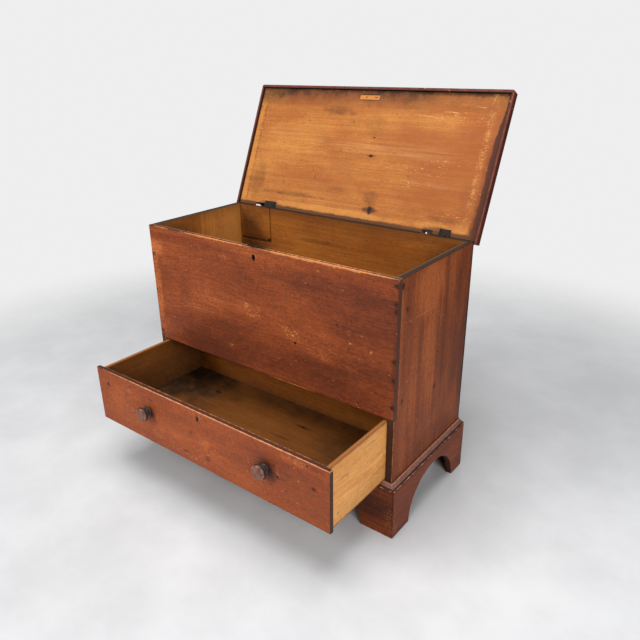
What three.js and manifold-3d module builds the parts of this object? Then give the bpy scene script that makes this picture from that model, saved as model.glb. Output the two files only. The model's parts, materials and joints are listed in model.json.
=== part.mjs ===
// Painted pine blanket chest: a nailed board case with a lift lid and one long lipped drawer.
// Millimetres. +X is the chest's right as seen from the front, -Y its front and +Z is up.
// The chest is shown in use: the lid leans back on its stop and the drawer is pulled out.
import * as THREE from 'three';
import { mergeVertices } from 'three/addons/utils/BufferGeometryUtils.js';
import Module from 'manifold-3d';

const wasm = await Module();
wasm.setup();

// Case
const caseWidth = 1000;
const caseDepth = 448;
const caseHeight = 817;
const endThick = 20;
const frontThick = 16;
const backThick = 18;
const frontBottom = 394;
const endLap = 26;
const backRabbet = 10;
const dadoDepth = 6;
const wellFloorThick = 14;
const wellFloorLift = 2;
const bayFloorThick = 16;
const railThick = 20;
const seam = 0.3;
const overrun = 5;

// Lost till: only its grooves are left at the left end of the well
const tillReach = 172;
const tillWallThick = 6;
const tillDepth = 129;
const tillFloorThick = 12;
const tillGrooveDepth = 5;

// Bracket base
const bracketThick = 22;
const bracketHeight = 168;
const archCrown = 32;
const frontFootWidth = 94;
const frontArchCurve = 114;
const sideFrontFoot = 77;
const sideRearFoot = 73;
const mouldHeight = 16;
const mouldFillet = 4;
const mouldStep = 4;
const mouldTopOut = 3;
const mouldSag = 2;
const braceThick = 20;
const braceFoot = 70;
const braceHead = 105;
const blockWidth = 34;
const blockLift = 2;

// Lid
const openDegrees = 113.5;
const lidThick = 18;
const lidSideGap = 1.5;
const lidMouldThick = 11;
const lidMouldDrop = 9;
const lidMouldRound = 4;
const lidMouldTopRound = 6;
const lidCornerRound = 12;
const lidRearReach = 12;
const keeperLength = 86;
const keeperWidth = 16;
const keeperDepth = 1.5;
const keeperSetback = 14;
const keeperScrewRadius = 2;
const keeperScrewDepth = 8;
const keeperScrewShares = [-0.14, 0.27];

// Butt hinges, and beside them the beds of an older pair, broken through at the back
const hingeBehind = 5;
const leafThick = 2;
const leafWidth = 19;
const knuckleRadius = 4;
const knuckleClear = 0.5;
const pinRadius = 1.75;
const pinClear = 0.1;
const leftHingeLength = 55;
const leftHingeInset = 157;
const rightHingeLength = 40;
const rightHingeInset = 104;
const oldBedReach = 8;
const oldBedDepth = 2.5;
const leftBedLength = 43;
const leftBedInset = 106;
const rightBedLength = 37;
const rightBedInset = 166;
const oldGapDepth = 2.5;
const leftGapSplay = 18;
const rightGapLength = 12;
const rightGapInset = 173;

// Screws
const screwHeadRadius = 3.4;
const screwHeadDepth = 1.8;
const screwShankRadius = 1.5;
const screwLength = 13;
const screwPlaceShare = 0.26;

// Lock in the front board
const lockCentre = -8;
const lockPlateLength = 68;
const lockPlateDrop = 50;
const lockPlateThick = 2;
const lockPlateWidth = 11.5;
const lockCaseLength = 50;
const lockCaseHeight = 45;
const lockCaseDepth = 9;
const lockWall = 1.5;
const keyholeDrop = 23;
const keyholeHeight = 21;
const keyholeRadius = 5.2;
const keyholeSlot = 5.8;
const keyholeOffset = -2;
const boltLength = 34;
const boltHeight = 10;
const boltTravel = 8;
const boltPlay = 0.4;
const stapleSlotLength = 10;
const stapleSlotWidth = 3.5;
const stapleSlotShare = 0.2;
const lockScrewLength = 9;
const lockScrewShare = 0.43;

// Drawer
const drawerTravel = 270.4;
const drawerFrontThick = 17;
const drawerLipThick = 13;
const drawerLeftLip = 23;
const drawerRightLip = 11;
const drawerTopGap = 8;
const drawerBottomGap = 4;
const drawerSidePlay = 5;
const drawerRearPlay = 4;
const drawerSideThick = 12;
const drawerBackThick = 12;
const drawerBottomThick = 12;
const drawerBottomLift = 21;
const drawerGroove = 5;
const lipRound = 1.5;

// Drawer knobs
const leftKnobInset = 256;
const rightKnobInset = 227;
const knobRise = 13;
const knobHeadRadius = 25;
const knobHeadThick = 14;
const knobProud = 32;
const knobNeckRadius = 10;
const knobBaseRadius = 17;
const knobBaseThick = 4;
const knobTenonRadius = 8;
// Each row holds a share of the head's radius and one of its thickness, from neck to face
const knobHeadShares = [[0.8, 0], [1, 0.35], [0.94, 0.7], [0.6, 0.93]];

// Smoothness
const curveSteps = 8;
const turnedSteps = 32;
const barrelSteps = 20;
const screwSteps = 10;

// Places worked out from the sizes above
const halfWidth = caseWidth / 2;
const innerHalf = halfWidth - endThick;
const backInner = caseDepth - backThick;
const endBottom = bracketHeight - endLap;
const bayFloorTop = bracketHeight + bayFloorThick;
const wellFloorBottom = frontBottom + wellFloorLift;
const tillFloorTop = caseHeight - tillDepth;
const archRise = bracketHeight - archCrown;
const openAngle = THREE.MathUtils.degToRad(openDegrees);
const lidUnder = caseHeight + seam;
const hingeY = caseDepth + hingeBehind;
const hingeZ = caseHeight + seam / 2;
const lidBack = hingeY + lidRearReach;
const keyholeCentre = lockCentre + keyholeOffset;
const keyholeTop = caseHeight - keyholeDrop;
const lockMortiseFront = frontThick - lockPlateThick - lockCaseDepth - seam;

// Finishes
const FINISHES = {
  redPaint: { color: '#7a3a28', roughness: 0.55, metalness: 0 },
  darkRedPaint: { color: '#5e2c22', roughness: 0.5, metalness: 0 },
  agedPine: { color: '#b5763c', roughness: 0.7, metalness: 0 },
  palePine: { color: '#d2a064', roughness: 0.75, metalness: 0 },
  knobWood: { color: '#5a352a', roughness: 0.45, metalness: 0 },
  oldIron: { color: '#4a4845', roughness: 0.6, metalness: 0.8 },
};

// Booleans: a closed geometry becomes a solid, and a solid becomes a geometry again
function toSolid(geometry) {
  const plain = geometry.clone();
  plain.deleteAttribute('normal');
  plain.deleteAttribute('uv');
  const merged = mergeVertices(plain);
  return new wasm.Manifold(new wasm.Mesh({
    numProp: 3,
    vertProperties: new Float32Array(merged.attributes.position.array),
    triVerts: new Uint32Array(merged.index.array),
  }));
}

function toGeometry(solid) {
  const mesh = solid.getMesh();
  const geometry = new THREE.BufferGeometry();
  geometry.setAttribute('position', new THREE.BufferAttribute(mesh.vertProperties, 3));
  geometry.setIndex(new THREE.BufferAttribute(mesh.triVerts, 1));
  const faceted = geometry.toNonIndexed();
  faceted.computeVertexNormals();
  return faceted;
}

// A box between two corners
function block([x0, x1], [y0, y1], [z0, z1]) {
  const box = new THREE.BoxGeometry(x1 - x0, y1 - y0, z1 - z0);
  box.translate((x0 + x1) / 2, (y0 + y1) / 2, (z0 + z1) / 2);
  return toSolid(box);
}

function polygon(points) {
  return new THREE.Shape(points.map(([a, b]) => new THREE.Vector2(a, b)));
}

// An outline pushed along one axis from one place to another
function extruded(shape, length) {
  return new THREE.ExtrudeGeometry(shape, {
    depth: length,
    bevelEnabled: false,
    curveSegments: curveSteps,
  });
}

const yzToWorld = new THREE.Matrix4().makeBasis(
  new THREE.Vector3(0, 1, 0), new THREE.Vector3(0, 0, 1), new THREE.Vector3(1, 0, 0));
const xzToWorld = new THREE.Matrix4().makeBasis(
  new THREE.Vector3(1, 0, 0), new THREE.Vector3(0, 0, 1), new THREE.Vector3(0, -1, 0));

function alongX(shapeYZ, [from, to]) {
  const geometry = extruded(shapeYZ, to - from).applyMatrix4(yzToWorld);
  return toSolid(geometry.translate(from, 0, 0));
}

function alongY(shapeXZ, [from, to]) {
  const geometry = extruded(shapeXZ, to - from).applyMatrix4(xzToWorld);
  return toSolid(geometry.translate(0, to, 0));
}

function alongZ(shapeXY, [from, to]) {
  return toSolid(extruded(shapeXY, to - from).translate(0, 0, from));
}

// A turned form: its profile holds [radius, place along the axis], from axis to axis
function turned(profile, steps) {
  return new THREE.LatheGeometry(profile.map(([r, h]) => new THREE.Vector2(r, h)), steps);
}

function rod(radius, [from, to], steps = barrelSteps) {
  const cylinder = new THREE.CylinderGeometry(radius, radius, to - from, steps);
  cylinder.rotateZ(Math.PI / 2);
  return cylinder.translate((from + to) / 2, 0, 0);
}

function cut(solid, ...tools) {
  return tools.reduce((rest, tool) => rest.subtract(tool), solid);
}

function part(name, solid, finish) {
  const mesh = new THREE.Mesh(toGeometry(solid), new THREE.MeshStandardMaterial(FINISHES[finish]));
  mesh.name = name;
  return mesh;
}

// Both hands of a pair: side is -1 for the left piece and 1 for the right one
const SIDES = [['left', -1], ['right', 1]];

function span(side, inner, outer) {
  return side < 0 ? [-outer, -inner] : [inner, outer];
}

// Case boards
function endBoard(side) {
  const board = alongX(polygon([
    [0, endBottom],
    [caseDepth, endBottom],
    [caseDepth, caseHeight],
    [frontThick + seam, caseHeight],
    [frontThick + seam, frontBottom - seam],
    [0, frontBottom - seam],
  ]), span(side, innerHalf, halfWidth));
  const rabbet = block(
    span(side, innerHalf - overrun, innerHalf + backRabbet),
    [backInner - seam, caseDepth + overrun],
    [endBottom - overrun, caseHeight + overrun]);
  const dado = (bottom, top) => block(
    span(side, innerHalf - overrun, innerHalf + dadoDepth),
    [-overrun, caseDepth + overrun],
    [bottom - seam, top + seam]);
  return cut(board, rabbet,
    dado(wellFloorBottom, wellFloorBottom + wellFloorThick),
    dado(bayFloorTop - bayFloorThick, bayFloorTop));
}

// The two grooves that held the till's wall and floor, cut into a board's inner face
function tillGrooves(y) {
  const wall = tillReach - halfWidth;
  return [
    block([wall, wall + tillWallThick], y, [tillFloorTop - tillFloorThick, caseHeight + overrun]),
    block([-innerHalf, wall + tillWallThick], y, [tillFloorTop - tillFloorThick, tillFloorTop]),
  ];
}

// A round hole over a slot, standing in the plane of the front board
function keyhole(y) {
  const centreZ = keyholeTop - keyholeRadius;
  const round = rod(keyholeRadius, y).rotateZ(Math.PI / 2).translate(keyholeCentre, 0, centreZ);
  const slot = block(
    [keyholeCentre - keyholeSlot / 2, keyholeCentre + keyholeSlot / 2],
    y, [keyholeTop - keyholeHeight, centreZ]);
  return toSolid(round).add(slot);
}

function frontBoard() {
  const board = block([-halfWidth, halfWidth], [0, frontThick], [frontBottom, caseHeight]);
  const plateRecess = lockPlateSolid(seam);
  const mortise = block(
    [lockCentre - lockCaseLength / 2 - seam, lockCentre + lockCaseLength / 2 + seam],
    [lockMortiseFront, frontThick + overrun],
    [caseHeight - lockPlateThick - lockCaseHeight - seam, caseHeight - lockPlateThick]);
  const screwHoles = lockScrewPlaces().map((place) => lockScrewSolid(place, seam));
  return cut(board, plateRecess, mortise, keyhole([-overrun, frontThick + overrun]),
    ...tillGrooves([frontThick - tillGrooveDepth, frontThick + overrun]), ...screwHoles);
}

function backUpperBoard() {
  const half = innerHalf + backRabbet - seam;
  const board = block([-half, half], [backInner, caseDepth], [frontBottom, caseHeight]);
  const mortises = HINGES.map((hinge) => block(
    [hinge.centre - hinge.length / 2 - seam, hinge.centre + hinge.length / 2 + seam],
    [hingeY - leafWidth - seam, caseDepth + overrun],
    [caseHeight - leafThick - seam, caseHeight + overrun]));
  const oldMortises = OLD_BEDS.map((x) => block(
    x, [hingeY - leafWidth, caseDepth + overrun],
    [caseHeight - oldBedDepth, caseHeight + overrun]));
  const pilots = hingeScrewPlaces().map(([x]) => caseScrewSolid(x, seam));
  return cut(board, ...mortises, ...oldMortises, ...pilots,
    ...tillGrooves([backInner - overrun, backInner + tillGrooveDepth]));
}

function backLowerBoard() {
  const half = innerHalf + backRabbet - seam;
  return block([-half, half], [backInner, caseDepth], [endBottom, frontBottom - seam]);
}

function wellFloor() {
  const half = innerHalf + dadoDepth - seam;
  return block([-half, half], [frontThick + seam, backInner - seam],
    [wellFloorBottom, wellFloorBottom + wellFloorThick]);
}

function bayFloor() {
  const half = innerHalf + dadoDepth - seam;
  return block([-half, half], [0, backInner - seam], [bayFloorTop - bayFloorThick, bayFloorTop]);
}

function baseRail() {
  const half = innerHalf - seam;
  return block([-half, half], [0, railThick], [endBottom, bayFloorTop - bayFloorThick - seam]);
}

// The plan of a piece that runs along the front and is mitred at both ends
function frontMitre(half, face, out, z) {
  return alongZ(polygon([
    [-half, -face],
    [half, -face],
    [half + out, -face - out],
    [-half - out, -face - out],
  ]), z);
}

// The plan of a piece that runs along one side and is mitred at its front end
function sideMitre(side, half, face, out, back, z) {
  return alongZ(polygon([
    [side * (half + seam), -face],
    [side * (half + seam + out), -face - out],
    [side * (half + seam + out), back],
    [side * (half + seam), back],
  ]), z);
}

// Bracket base
function frontBracket() {
  const outer = halfWidth + bracketThick;
  const footEdge = outer - frontFootWidth - bracketThick;
  const flat = footEdge - frontArchCurve;
  const outline = new THREE.Shape();
  outline.moveTo(-outer, 0);
  outline.lineTo(-footEdge, 0);
  outline.absellipse(-flat, 0, frontArchCurve, archRise, Math.PI, Math.PI / 2, true);
  outline.absellipse(flat, 0, frontArchCurve, archRise, Math.PI / 2, 0, true);
  outline.lineTo(outer, 0);
  outline.lineTo(outer, bracketHeight);
  outline.lineTo(-outer, bracketHeight);
  return alongY(outline, [-bracketThick, -seam])
    .intersect(frontMitre(halfWidth, 0, bracketThick, [0, bracketHeight]));
}

function sideBracket(side) {
  const archFront = sideFrontFoot;
  const archBack = caseDepth - sideRearFoot;
  const archHalf = (archBack - archFront) / 2;
  const outline = new THREE.Shape();
  outline.moveTo(-bracketThick, 0);
  outline.lineTo(archFront, 0);
  outline.absellipse(archFront + archHalf, 0, archHalf, archRise, Math.PI, 0, true);
  outline.lineTo(caseDepth, 0);
  outline.lineTo(caseDepth, bracketHeight);
  outline.lineTo(-bracketThick, bracketHeight);
  return alongX(outline, span(side, halfWidth + seam, halfWidth + bracketThick))
    .intersect(sideMitre(side, halfWidth, 0, bracketThick, caseDepth, [0, bracketHeight]));
}

// The base moulding's profile: out is measured from the case and z from the bracket's top
function baseProfile(place) {
  const outline = new THREE.Shape();
  const at = (out, z) => place(out, bracketHeight + seam + z);
  const middle = (mouldFillet + mouldStep + mouldHeight) / 2;
  outline.moveTo(...at(seam, 0));
  outline.lineTo(...at(bracketThick, 0));
  outline.lineTo(...at(bracketThick, mouldFillet));
  outline.lineTo(...at(bracketThick - mouldStep, mouldFillet + mouldStep / 2));
  outline.quadraticCurveTo(
    ...at((bracketThick - mouldStep) / 2 + mouldSag, middle - mouldSag),
    ...at(mouldTopOut, mouldHeight - mouldStep / 2));
  outline.lineTo(...at(mouldTopOut, mouldHeight));
  outline.lineTo(...at(seam, mouldHeight));
  return outline;
}

function frontBaseMoulding() {
  const outer = halfWidth + bracketThick;
  const z = [bracketHeight, bracketHeight + seam + mouldHeight];
  return alongX(baseProfile((out, height) => [-out, height]), [-outer, outer])
    .intersect(frontMitre(halfWidth, 0, bracketThick, z));
}

function sideBaseMoulding(side) {
  const z = [bracketHeight, bracketHeight + seam + mouldHeight];
  return alongY(baseProfile((out, height) => [side * (halfWidth + out), height]),
    [-bracketThick, caseDepth])
    .intersect(sideMitre(side, halfWidth, 0, bracketThick, caseDepth, z));
}

function rearBrace(side) {
  const top = endBottom - seam;
  return alongY(polygon([
    [side * halfWidth, 0],
    [side * halfWidth, top],
    [side * (halfWidth - braceHead), top],
    [side * (halfWidth - braceFoot), 0],
  ]), [caseDepth - braceThick, caseDepth]);
}

function cornerBlock(side) {
  return block(span(side, halfWidth - blockWidth, halfWidth), [0, blockWidth],
    [blockLift, endBottom - seam]);
}

// Lock: an L of plate over the top edge and down the inside, and a tray that holds the bolt
function lockPlateSolid(grow) {
  const half = lockPlateLength / 2 + grow;
  const top = caseHeight + (grow > 0 ? overrun : 0);
  const back = frontThick + (grow > 0 ? overrun : 0);
  return alongX(polygon([
    [frontThick - lockPlateWidth - grow, caseHeight - lockPlateThick - grow],
    [frontThick - lockPlateThick - grow, caseHeight - lockPlateThick - grow],
    [frontThick - lockPlateThick - grow, caseHeight - lockPlateDrop - grow],
    [back, caseHeight - lockPlateDrop - grow],
    [back, top],
    [frontThick - lockPlateWidth - grow, top],
  ]), [lockCentre - half, lockCentre + half]);
}

function lockScrewPlaces() {
  return [-1, 1].map((side) => [
    lockCentre + side * lockPlateLength * lockScrewShare,
    caseHeight - lockPlateDrop / 2,
  ]);
}

// A countersunk screw along the lathe axis, its head's top at the origin
function screwGeometry(length, grow) {
  const top = grow > 0 ? overrun : 0;
  const profile = [
    [0, -length - grow],
    [screwShankRadius + grow, -length - grow],
    [screwShankRadius + grow, -screwHeadDepth],
    [screwHeadRadius + grow, 0],
  ];
  if (grow > 0) profile.push([screwHeadRadius + grow, top]);
  return turned([...profile, [0, top]], screwSteps);
}

function lockScrewSolid([x, z], grow) {
  return toSolid(screwGeometry(lockScrewLength, grow).translate(x, frontThick, z));
}

function staplePlaces() {
  return [-1, 1].map((side) => lockCentre + side * lockPlateLength * stapleSlotShare);
}

function stapleSlots() {
  const y = frontThick - lockPlateThick - lockCaseDepth / 2;
  return staplePlaces().map((x) => block(
    [x - stapleSlotLength / 2, x + stapleSlotLength / 2],
    [y - stapleSlotWidth / 2, y + stapleSlotWidth / 2],
    [caseHeight - lockPlateThick - lockWall - overrun, caseHeight + overrun]));
}

function lockPlate() {
  return cut(lockPlateSolid(0), ...stapleSlots(),
    ...lockScrewPlaces().map((place) => lockScrewSolid(place, seam)));
}

function lockCase() {
  const back = frontThick - lockPlateThick - seam;
  const front = lockMortiseFront + seam;
  const top = caseHeight - lockPlateThick - seam;
  const bottom = caseHeight - lockPlateThick - lockCaseHeight;
  const half = lockCaseLength / 2;
  const body = block([lockCentre - half, lockCentre + half], [front, back], [bottom, top]);
  const hollow = block(
    [lockCentre - half + lockWall, lockCentre + half - lockWall],
    [front + lockWall, back + overrun],
    [bottom + lockWall, top - lockWall]);
  return cut(body, hollow, keyhole([0, back]), ...stapleSlots());
}

function lockBolt() {
  const front = lockMortiseFront + seam + lockWall + boltPlay;
  const back = frontThick - lockPlateThick - seam - boltPlay;
  const top = caseHeight - lockPlateThick - seam - lockWall - boltPlay;
  const start = lockCentre - (boltLength + boltTravel) / 2;
  return block([start, start + boltLength], [front, back], [top - boltHeight, top]);
}

// Hinges
const HINGES = [
  { name: 'left_hinge', centre: leftHingeInset - halfWidth, length: leftHingeLength },
  { name: 'right_hinge', centre: halfWidth - rightHingeInset, length: rightHingeLength },
];
const OLD_BEDS = [[leftBedInset - halfWidth, leftBedLength], [halfWidth - rightBedInset, rightBedLength]]
  .map(([centre, length]) => [centre - length / 2, centre + length / 2]);
const OLD_GAPS = [
  { x: OLD_BEDS[0], splay: leftGapSplay },
  {
    x: [-1, 1].map((side) => halfWidth - rightGapInset + side * rightGapLength / 2),
    splay: 0,
  },
];

function hingeScrewPlaces() {
  return HINGES.flatMap((hinge) => [-1, 1].map((side, i) => [
    hinge.centre + side * hinge.length * screwPlaceShare,
    `${hinge.name}_screw_${i + 1}`,
  ]));
}

const screwY = hingeY - (leafWidth + knuckleRadius) / 2;

function caseScrewSolid(x, grow) {
  return toSolid(screwGeometry(screwLength, grow).rotateX(Math.PI / 2)
    .translate(x, screwY, caseHeight));
}

function lidScrewSolid(x, grow) {
  return toSolid(screwGeometry(screwLength, grow).rotateX(-Math.PI / 2)
    .translate(x, screwY, lidUnder));
}

// One leaf: a plate with its own knuckles, and a bore for the pin
function leaf(hinge, plateZ, knuckleShares, screws) {
  const from = hinge.centre - hinge.length / 2;
  const place = (share) => from + hinge.length * share;
  const plate = block([from, from + hinge.length],
    [hingeY - leafWidth, hingeY - knuckleRadius - knuckleClear], plateZ);
  const knuckles = knuckleShares.map(([a, b]) => {
    const x = [place(a) + (a > 0 ? seam : 0), place(b) - (b < 1 ? seam : 0)];
    const barrel = toSolid(rod(knuckleRadius, x).translate(0, hingeY, hingeZ));
    return barrel.add(block(x, [hingeY - leafWidth, hingeY], plateZ));
  });
  const joined = knuckles.reduce((all, knuckle) => all.add(knuckle), plate);
  const bore = rod(pinRadius + pinClear, [from - overrun, from + hinge.length + overrun]);
  return cut(joined, toSolid(bore.translate(0, hingeY, hingeZ)), ...screws);
}

function caseLeaf(hinge) {
  return leaf(hinge, [caseHeight - leafThick, caseHeight], [[0, 1 / 3], [2 / 3, 1]],
    hingeScrewPlaces().map(([x]) => caseScrewSolid(x, seam)));
}

function lidLeaf(hinge) {
  return leaf(hinge, [lidUnder, lidUnder + leafThick], [[1 / 3, 2 / 3]],
    hingeScrewPlaces().map(([x]) => lidScrewSolid(x, seam)));
}

function hingePin(hinge) {
  const x = [hinge.centre - hinge.length / 2, hinge.centre + hinge.length / 2];
  return toSolid(rod(pinRadius, x).translate(0, hingeY, hingeZ));
}

// Lid, drawn closed
function lidBoard() {
  const half = halfWidth + lidSideGap;
  const board = block([-half, half], [-lidSideGap, lidBack], [lidUnder, lidUnder + lidThick]);
  const leafRecesses = HINGES.map((hinge) => block(
    [hinge.centre - hinge.length / 2 - seam, hinge.centre + hinge.length / 2 + seam],
    [hingeY - leafWidth - seam, lidBack + overrun],
    [lidUnder - overrun, lidUnder + leafThick + seam]));
  const barrelRooms = HINGES.map((hinge) => block(
    [hinge.centre - hinge.length / 2 - seam, hinge.centre + hinge.length / 2 + seam],
    [hingeY - knuckleRadius - knuckleClear, lidBack + overrun],
    [lidUnder - overrun, hingeZ + knuckleRadius + knuckleClear]));
  const oldBeds = OLD_BEDS.map((x) => block(
    x, [hingeY - oldBedReach, lidBack + overrun], [lidUnder - overrun, lidUnder + oldBedDepth]));
  // Seen from below each gap starts inside its bed, and it may widen to the left above
  const top = lidUnder + lidThick + overrun;
  const oldGaps = OLD_GAPS.map(({ x: [from, to], splay }) => alongY(polygon([
    [from, lidUnder - overrun], [to, lidUnder - overrun], [to, top], [from - splay, top],
  ]), [hingeY - oldGapDepth, lidBack + overrun]));
  const keeperY = [keeperSetback, keeperSetback + keeperWidth];
  const keeper = block([lockCentre - keeperLength / 2, lockCentre + keeperLength / 2], keeperY,
    [lidUnder - overrun, lidUnder + keeperDepth]);
  const keeperHoles = keeperScrewShares.map((share) => toSolid(
    rod(keeperScrewRadius, [-overrun, keeperScrewDepth]).rotateY(-Math.PI / 2).translate(
      lockCentre + share * keeperLength, keeperSetback + keeperWidth / 2, lidUnder)));
  const pilots = hingeScrewPlaces().map(([x]) => lidScrewSolid(x, seam));
  return cut(board, ...leafRecesses, ...barrelRooms, ...oldBeds, ...oldGaps, keeper,
    ...keeperHoles, ...pilots);
}

// The lid moulding's profile: out is measured from the lid's edge and z from its lower edge
function lidProfile(place) {
  const outline = new THREE.Shape();
  const bottom = lidUnder - lidMouldDrop;
  const top = lidUnder + lidThick;
  const at = (out, z) => place(out, z);
  outline.moveTo(...at(seam, bottom));
  outline.lineTo(...at(lidMouldThick - lidMouldRound, bottom));
  outline.quadraticCurveTo(
    ...at(lidMouldThick, bottom), ...at(lidMouldThick, bottom + lidMouldRound));
  outline.lineTo(...at(lidMouldThick, top - lidMouldTopRound));
  outline.quadraticCurveTo(
    ...at(lidMouldThick, top), ...at(lidMouldThick - lidMouldTopRound, top));
  outline.lineTo(...at(seam, top));
  return outline;
}

// The lid's plan with its two front corners worn round
function lidPlan() {
  const half = halfWidth + lidSideGap + seam + lidMouldThick;
  const front = -lidSideGap - lidMouldThick;
  const r = lidCornerRound;
  const outline = new THREE.Shape();
  outline.moveTo(-half, lidBack);
  outline.lineTo(-half, front + r);
  outline.absarc(-half + r, front + r, r, Math.PI, Math.PI * 3 / 2, false);
  outline.lineTo(half - r, front);
  outline.absarc(half - r, front + r, r, Math.PI * 3 / 2, Math.PI * 2, false);
  outline.lineTo(half, lidBack);
  return alongZ(outline, [lidUnder - lidMouldDrop, lidUnder + lidThick]);
}

function lidFrontMoulding() {
  const half = halfWidth + lidSideGap;
  const z = [lidUnder - lidMouldDrop, lidUnder + lidThick];
  return alongX(lidProfile((out, height) => [-lidSideGap - out, height]),
    [-half - lidMouldThick, half + lidMouldThick])
    .intersect(frontMitre(half, lidSideGap, lidMouldThick, z))
    .intersect(lidPlan());
}

function lidSideMoulding(side) {
  const half = halfWidth + lidSideGap;
  const z = [lidUnder - lidMouldDrop, lidUnder + lidThick];
  return alongY(lidProfile((out, height) => [side * (half + out), height]),
    [-lidSideGap - lidMouldThick, lidBack])
    .intersect(sideMitre(side, half, lidSideGap, lidMouldThick, lidBack, z))
    .intersect(lidPlan());
}

// Drawer, drawn closed: its lips meet the front edges of the end boards
const drawerFace = -drawerLipThick;
const drawerInnerFace = drawerFace + drawerFrontThick;
const drawerBoxHalf = innerHalf - drawerSidePlay;
const drawerInnerHalf = drawerBoxHalf - drawerSideThick;
const drawerLeft = -drawerBoxHalf - drawerLeftLip;
const drawerRight = drawerBoxHalf + drawerRightLip;
const drawerRear = backInner - drawerRearPlay;
const drawerBackFace = drawerRear - drawerBackThick;
const drawerTop = frontBottom - drawerTopGap;
const drawerFrontBottom = bayFloorTop + drawerBottomGap;
const drawerBottomBase = bayFloorTop + drawerBottomLift;
const drawerBottomTop = drawerBottomBase + drawerBottomThick;
const drawerBottomZ = [drawerBottomBase, drawerBottomTop];
const knobHeight = (drawerFrontBottom + drawerTop) / 2 + knobRise;

function knobPlaces() {
  return [['left', drawerLeft + leftKnobInset], ['right', drawerRight - rightKnobInset]];
}

function drawerFront() {
  const shoulder = drawerInnerHalf - seam;
  const board = alongZ(polygon([
    [drawerLeft, 0],
    [drawerLeft, drawerFace + lipRound],
    [drawerLeft + lipRound, drawerFace],
    [drawerRight - lipRound, drawerFace],
    [drawerRight, drawerFace + lipRound],
    [drawerRight, 0],
    [shoulder, 0],
    [shoulder, drawerInnerFace],
    [-shoulder, drawerInnerFace],
    [-shoulder, 0],
  ]), [drawerFrontBottom, drawerTop]);
  const groove = block([-shoulder - overrun, shoulder + overrun],
    [drawerInnerFace - drawerGroove, drawerInnerFace + overrun],
    [drawerBottomZ[0] - seam, drawerBottomZ[1] + seam]);
  const lipEnds = SIDES.map(([, side]) => block(
    span(side, shoulder, halfWidth), [-drawerGroove, overrun],
    [drawerBottomZ[0] - overrun, drawerBottomZ[1] + overrun]));
  const grooves = lipEnds.reduce((rest, end) => rest.subtract(end), groove);
  const holes = knobPlaces().map(([, x]) => toSolid(
    rod(knobTenonRadius + seam, [drawerFace - overrun, drawerInnerFace + overrun], turnedSteps)
      .rotateZ(Math.PI / 2).translate(x, 0, knobHeight)));
  return cut(board, grooves, ...holes);
}

function drawerSide(side) {
  const board = block(span(side, drawerInnerHalf, drawerBoxHalf), [seam, drawerRear],
    [bayFloorTop + seam, drawerTop]);
  return cut(board, block(
    span(side, drawerInnerHalf - overrun, drawerInnerHalf + drawerGroove),
    [-overrun, drawerRear + overrun],
    [drawerBottomZ[0] - seam, drawerBottomZ[1] + seam]));
}

function drawerBack() {
  const half = drawerInnerHalf - seam;
  return block([-half, half], [drawerBackFace, drawerRear], [drawerBottomTop + seam, drawerTop]);
}

function drawerBottom() {
  const wide = drawerInnerHalf + drawerGroove - seam;
  const narrow = drawerInnerHalf - 2 * seam;
  const front = drawerInnerFace - drawerGroove + seam;
  const sides = block([-wide, wide], [drawerInnerFace + seam, drawerRear], drawerBottomZ);
  return sides.add(block([-narrow, narrow], [front, drawerRear], drawerBottomZ));
}

function drawerKnob(x) {
  const base = drawerFace;
  const neck = base - knobProud + knobHeadThick;
  const profile = [
    [0, drawerInnerFace],
    [knobTenonRadius, drawerInnerFace],
    [knobTenonRadius, base],
    [knobTenonRadius, base - seam],
    [knobBaseRadius, base - seam],
    [knobBaseRadius, base - knobBaseThick],
    [knobNeckRadius, base - 2 * knobBaseThick],
    [knobNeckRadius, neck + knobBaseThick],
    ...knobHeadShares.map(([wide, deep]) => [knobHeadRadius * wide, neck - knobHeadThick * deep]),
    [0, neck - knobHeadThick],
  ];
  const shape = turned(profile.map(([r, y]) => [r, -y]), turnedSteps);
  return toSolid(shape.rotateX(Math.PI).translate(x, 0, knobHeight));
}

// The whole chest
const caseGroup = new THREE.Group();
for (const [name, side] of SIDES) {
  caseGroup.add(
    part(`${name}_end_board`, endBoard(side), 'redPaint'),
    part(`${name}_bracket`, sideBracket(side), 'darkRedPaint'),
    part(`${name}_base_moulding`, sideBaseMoulding(side), 'darkRedPaint'),
    part(`${name}_rear_brace`, rearBrace(side), 'darkRedPaint'),
    part(`${name}_corner_block`, cornerBlock(side), 'agedPine'));
}
caseGroup.add(
  part('front_board', frontBoard(), 'redPaint'),
  part('back_upper_board', backUpperBoard(), 'agedPine'),
  part('back_lower_board', backLowerBoard(), 'agedPine'),
  part('well_floor', wellFloor(), 'agedPine'),
  part('drawer_bay_floor', bayFloor(), 'agedPine'),
  part('base_rail', baseRail(), 'agedPine'),
  part('front_bracket', frontBracket(), 'darkRedPaint'),
  part('front_base_moulding', frontBaseMoulding(), 'darkRedPaint'),
  part('lock_plate', lockPlate(), 'oldIron'),
  part('lock_case', lockCase(), 'oldIron'),
  part('lock_bolt', lockBolt(), 'oldIron'));
lockScrewPlaces().forEach((place, i) => {
  caseGroup.add(part(`lock_screw_${i + 1}`, lockScrewSolid(place, 0), 'oldIron'));
});
for (const hinge of HINGES) {
  caseGroup.add(
    part(`${hinge.name}_case_leaf`, caseLeaf(hinge), 'oldIron'),
    part(`${hinge.name}_pin`, hingePin(hinge), 'oldIron'));
}
for (const [x, name] of hingeScrewPlaces()) {
  caseGroup.add(part(`${name}_case`, caseScrewSolid(x, 0), 'oldIron'));
}

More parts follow.
